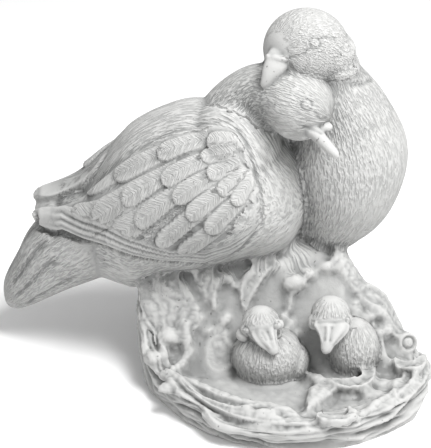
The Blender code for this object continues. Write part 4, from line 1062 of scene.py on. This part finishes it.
def keep_largest(mesh):
    """Remove the crumbs that fusing leaves beside the one large skin."""
    bm = bmesh.new()
    bm.from_mesh(mesh)
    waiting = set(bm.verts)
    pieces = []
    while waiting:
        edge_of_piece = [waiting.pop()]
        piece = set(edge_of_piece)
        while edge_of_piece:
            v = edge_of_piece.pop()
            for e in v.link_edges:
                other = e.other_vert(v)
                if other not in piece:
                    piece.add(other)
                    edge_of_piece.append(other)
        waiting -= piece
        pieces.append(piece)
    largest = max(pieces, key=len)
    crumbs = [v for piece in pieces if piece is not largest for v in piece]
    bmesh.ops.delete(bm, geom=crumbs, context="VERTS")
    bm.to_mesh(mesh)
    bm.free()


def fused_skin():
    """The forms fused into one skin, with a fillet in every crease."""
    bm = soft_shells()
    mesh = bpy.data.meshes.new("doves on nest")
    bm.to_mesh(mesh)
    bm.free()
    item = bpy.data.objects.new("doves_on_nest", mesh)
    bpy.context.collection.objects.link(item)
    fuse(item)
    swell(item.data, 1)
    fuse(item)
    swell(item.data, -1)
    settle_nest(item.data)
    bm = crisp_shells()
    bm.from_mesh(item.data)
    bm.to_mesh(item.data)
    bm.free()
    fuse(item)
    soften = item.modifiers.new("soften", "SMOOTH")
    soften.iterations = SOFTENING
    soften.factor = 0.5
    applied(item)
    keep_largest(item.data)
    return item


def cut_flat(item):
    """Thin the skin and cut it flat at the ground."""
    thin = item.modifiers.new("facets", "DECIMATE")
    thin.ratio = min(1.0, FACET_LIMIT / (2.0 * len(item.data.polygons)))
    applied(item)
    bm = bmesh.new()
    bm.from_mesh(item.data)
    cut = bmesh.ops.bisect_plane(bm, geom=bm.verts[:] + bm.edges[:] + bm.faces[:], dist=GROUND_SNAP,
                                 plane_co=(0, 0, 0), plane_no=(0, 0, 1), clear_inner=True)
    rim = [g for g in cut["geom_cut"] if isinstance(g, bmesh.types.BMEdge)]
    for v in {v for e in rim for v in e.verts}:
        v.co.z = 0.0
    bmesh.ops.contextual_create(bm, geom=[e for e in bm.edges if e.is_boundary])
    bmesh.ops.triangulate(bm, faces=bm.faces)
    bmesh.ops.recalc_face_normals(bm, faces=bm.faces)
    for face in bm.faces:
        face.smooth = face.normal.z > -0.99
    bm.to_mesh(item.data)
    bm.free()


def set_in_frame(mesh):
    """Move the drawn figure to its place in the row's frame."""
    turn = Matrix.Diagonal((MM, MM, MM, 1)) @ Matrix.Translation((*FOOT_MIDDLE, 0))
    mesh.transform(turn)
    keep_in_frame(mesh)


def keep_in_frame(mesh):
    """Hold every point inside the frame's own box."""
    points = mesh_values(mesh)
    points = np.clip(points, FRAME_BOX[0], FRAME_BOX[1])
    mesh.vertices.foreach_set("co", points.ravel())
    mesh.update()


class Wire:
    """A shader value that is worked with in plain sums."""

    def __init__(self, tree, socket):
        self.tree = tree
        self.socket = socket

    def maths(self, operation, *others):
        """One Math node on this value and others."""
        node = self.tree.nodes.new("ShaderNodeMath")
        node.operation = operation
        for socket, value in zip(node.inputs, (self, *others)):
            feed(self.tree, socket, value)
        return Wire(self.tree, node.outputs[0])

    def __add__(self, other):
        return self.maths("ADD", other)

    __radd__ = __add__

    def __mul__(self, other):
        return self.maths("MULTIPLY", other)

    __rmul__ = __mul__

    def __sub__(self, other):
        return self.maths("SUBTRACT", other)

    def between(self, low, high):
        """Smooth step from 0 at low to 1 at high."""
        settings = {"interpolation_type": "SMOOTHSTEP"}
        return add_node(self.tree, "ShaderNodeMapRange", settings, Value=self, From_Min=low, From_Max=high)


def feed(tree, socket, value):
    """Link a wire to a socket, or set its number or colour."""
    if isinstance(value, Wire):
        tree.links.new(value.socket, socket)
    else:
        socket.default_value = value


def add_node(tree, kind, settings=None, out=0, **values):
    """Add a node, set its settings and then its sockets, and return its output as a wire."""
    node = tree.nodes.new(kind)
    for name, value in (settings or {}).items():
        setattr(node, name, value)
    for name, value in values.items():
        feed(tree, node.inputs[name.replace("_", " ")], value)
    return Wire(tree, node.outputs[out])


def mixed(tree, share, low, high):
    """Colour from low to high by a share."""
    node = tree.nodes.new("ShaderNodeMix")
    node.data_type = "RGBA"
    feed(tree, node.inputs[0], share)
    feed(tree, node.inputs[6], low)
    feed(tree, node.inputs[7], high)
    return Wire(tree, node.outputs[2])


def attribute(tree, name, out):
    """One of the mesh's own values."""
    return add_node(tree, "ShaderNodeAttribute", {"attribute_name": name}, out=out)


def stretched(tree, vector, scales):
    """A vector with each axis scaled."""
    node = tree.nodes.new("ShaderNodeVectorMath")
    node.operation = "MULTIPLY"
    feed(tree, node.inputs[0], vector)
    node.inputs[1].default_value = scales
    return Wire(tree, node.outputs[0])


def noise_on(tree, vector, scale, detail=2.0, roughness=0.5):
    """Noise from 0 to 1 over a vector."""
    return add_node(tree, "ShaderNodeTexNoise", Vector=vector, Scale=scale, Detail=detail,
                    Roughness=roughness)


def cast_stone():
    """Light grey cast stone, with a painted highlight where it stands up and painted shade in the recesses,
    crevices and pores; strokes, sandy grain and pores are bump.
    """
    material = bpy.data.materials.new("cast stone")
    material.use_nodes = True
    tree = material.node_tree
    shader = tree.nodes["Principled BSDF"]
    flow = attribute(tree, "flow", 1)
    plumage = attribute(tree, "plumage", 2)
    raised = attribute(tree, "raised", 2)
    where = add_node(tree, "ShaderNodeTexCoord", out=3)
    long_strokes = noise_on(tree, stretched(tree, flow, (0.14, 0.62, 1.0)), 1.0, 1.0)
    short_strokes = noise_on(tree, stretched(tree, flow, (0.3, 1.1, 1.0)), 1.0, 1.0)
    strokes = (long_strokes * 0.6 + short_strokes * 0.4).between(0.38, 0.62)
    sand = noise_on(tree, where, 900.0, 3.0, 0.6)
    patches = noise_on(tree, where, 22.0, 3.0, 0.55)
    pores = noise_on(tree, where, 420.0, 1.0).between(0.72, 0.8)
    height = strokes * plumage + (sand - 0.5) * 0.35 - pores * 0.5
    bump = tree.nodes.new("ShaderNodeBump")
    bump.inputs["Strength"].default_value = 1.0
    bump.inputs["Distance"].default_value = STROKE_BUMP * MM
    feed(tree, bump.inputs["Height"], height)
    tree.links.new(bump.outputs["Normal"], shader.inputs["Normal"])
    # Painted light: the tone runs from painted shade in the recesses to a painted highlight on what stands up
    # and on the strokes' crests, with random patches of the stone's own tone on top
    painted_light_and_patches = raised * 0.5 + 0.5 + (strokes - 0.5) * plumage * 0.55 + (patches - 0.5) * 0.5
    colour = mixed(tree, painted_light_and_patches.between(0.05, 0.95), STONE_RECESS_SHADE, STONE_RAISED_HIGHLIGHT)
    # Painted shade: the crevices and the pores are darkened towards the crevice tone
    crevice_shade = (raised * -1.0).between(0.35, 1.0)
    colour = mixed(tree, crevice_shade * 0.5, colour, STONE_CREVICE_SHADE)
    colour = mixed(tree, pores * 0.5, colour, STONE_CREVICE_SHADE)
    tree.links.new(colour.socket, shader.inputs["Base Color"])
    rough = 0.78 + sand * 0.16
    tree.links.new(rough.socket, shader.inputs["Roughness"])
    shader.inputs["Specular IOR Level"].default_value = 0.35
    return material


def floor():
    """Plain pale flat floor."""
    bm = bmesh.new()
    bmesh.ops.create_grid(bm, x_segments=1, y_segments=1, size=FLOOR_HALF_SIZE)
    mesh = bpy.data.meshes.new("floor")
    bm.to_mesh(mesh)
    bm.free()
    item = bpy.data.objects.new("floor", mesh)
    bpy.context.collection.objects.link(item)
    material = bpy.data.materials.new("pale floor")
    material.use_nodes = True
    shader = material.node_tree.nodes["Principled BSDF"]
    shader.inputs["Base Color"].default_value = FLOOR_TONE
    shader.inputs["Roughness"].default_value = FLOOR_ROUGHNESS
    mesh.materials.append(material)


def place(x, y, z):
    """Drawing millimetres to metres in the row's frame."""
    return Vector(((x + FOOT_MIDDLE[0]) * MM, (y + FOOT_MIDDLE[1]) * MM, z * MM))


def soft_light(name, offset, energy, size):
    """Square soft light that faces the figure."""
    target = place(*LOOK_AT)
    light = bpy.data.lights.new(name, "AREA")
    light.energy = energy
    light.size = size
    item = bpy.data.objects.new(name, light)
    item.location = target + Vector(offset)
    item.rotation_euler = (-Vector(offset)).to_track_quat("-Z", "Y").to_euler()
    bpy.context.collection.objects.link(item)


def studio():
    """Soft light from the upper right, and an even pale surround."""
    world = bpy.data.worlds.new("studio")
    bpy.context.scene.world = world
    world.use_nodes = True
    surround = world.node_tree.nodes["Background"]
    surround.inputs["Color"].default_value = (1, 1, 1, 1)
    surround.inputs["Strength"].default_value = SURROUND_STRENGTH
    for light in LIGHTS:
        soft_light(*light)


def camera():
    """Camera at the photograph's angle."""
    data = bpy.data.cameras.new("camera")
    data.sensor_fit = "VERTICAL"
    data.sensor_height = SENSOR
    data.lens = FOCAL_PX / FRAME_HEIGHT_PX * SENSOR
    item = bpy.data.objects.new("camera", data)
    tilt = math.radians(CAMERA_TILT)
    back = Vector((0, -math.cos(tilt), math.sin(tilt)))
    item.location = place(*LOOK_AT) + back * CAMERA_DISTANCE * MM
    item.rotation_euler = (-back).to_track_quat("-Z", "Y").to_euler()
    bpy.context.collection.objects.link(item)
    bpy.context.scene.camera = item


def figure():
    """The carved figure, in place of the plain solid."""
    item = fused_skin()
    carve(item.data)
    cut_flat(item)
    surface_values(item.data)
    set_in_frame(item.data)
    item.data.materials.append(cast_stone())
    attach(item, BODY)
    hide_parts(NODE)


bpy.context.scene.view_settings.view_transform = "Standard"
figure()
floor()
studio()
camera()
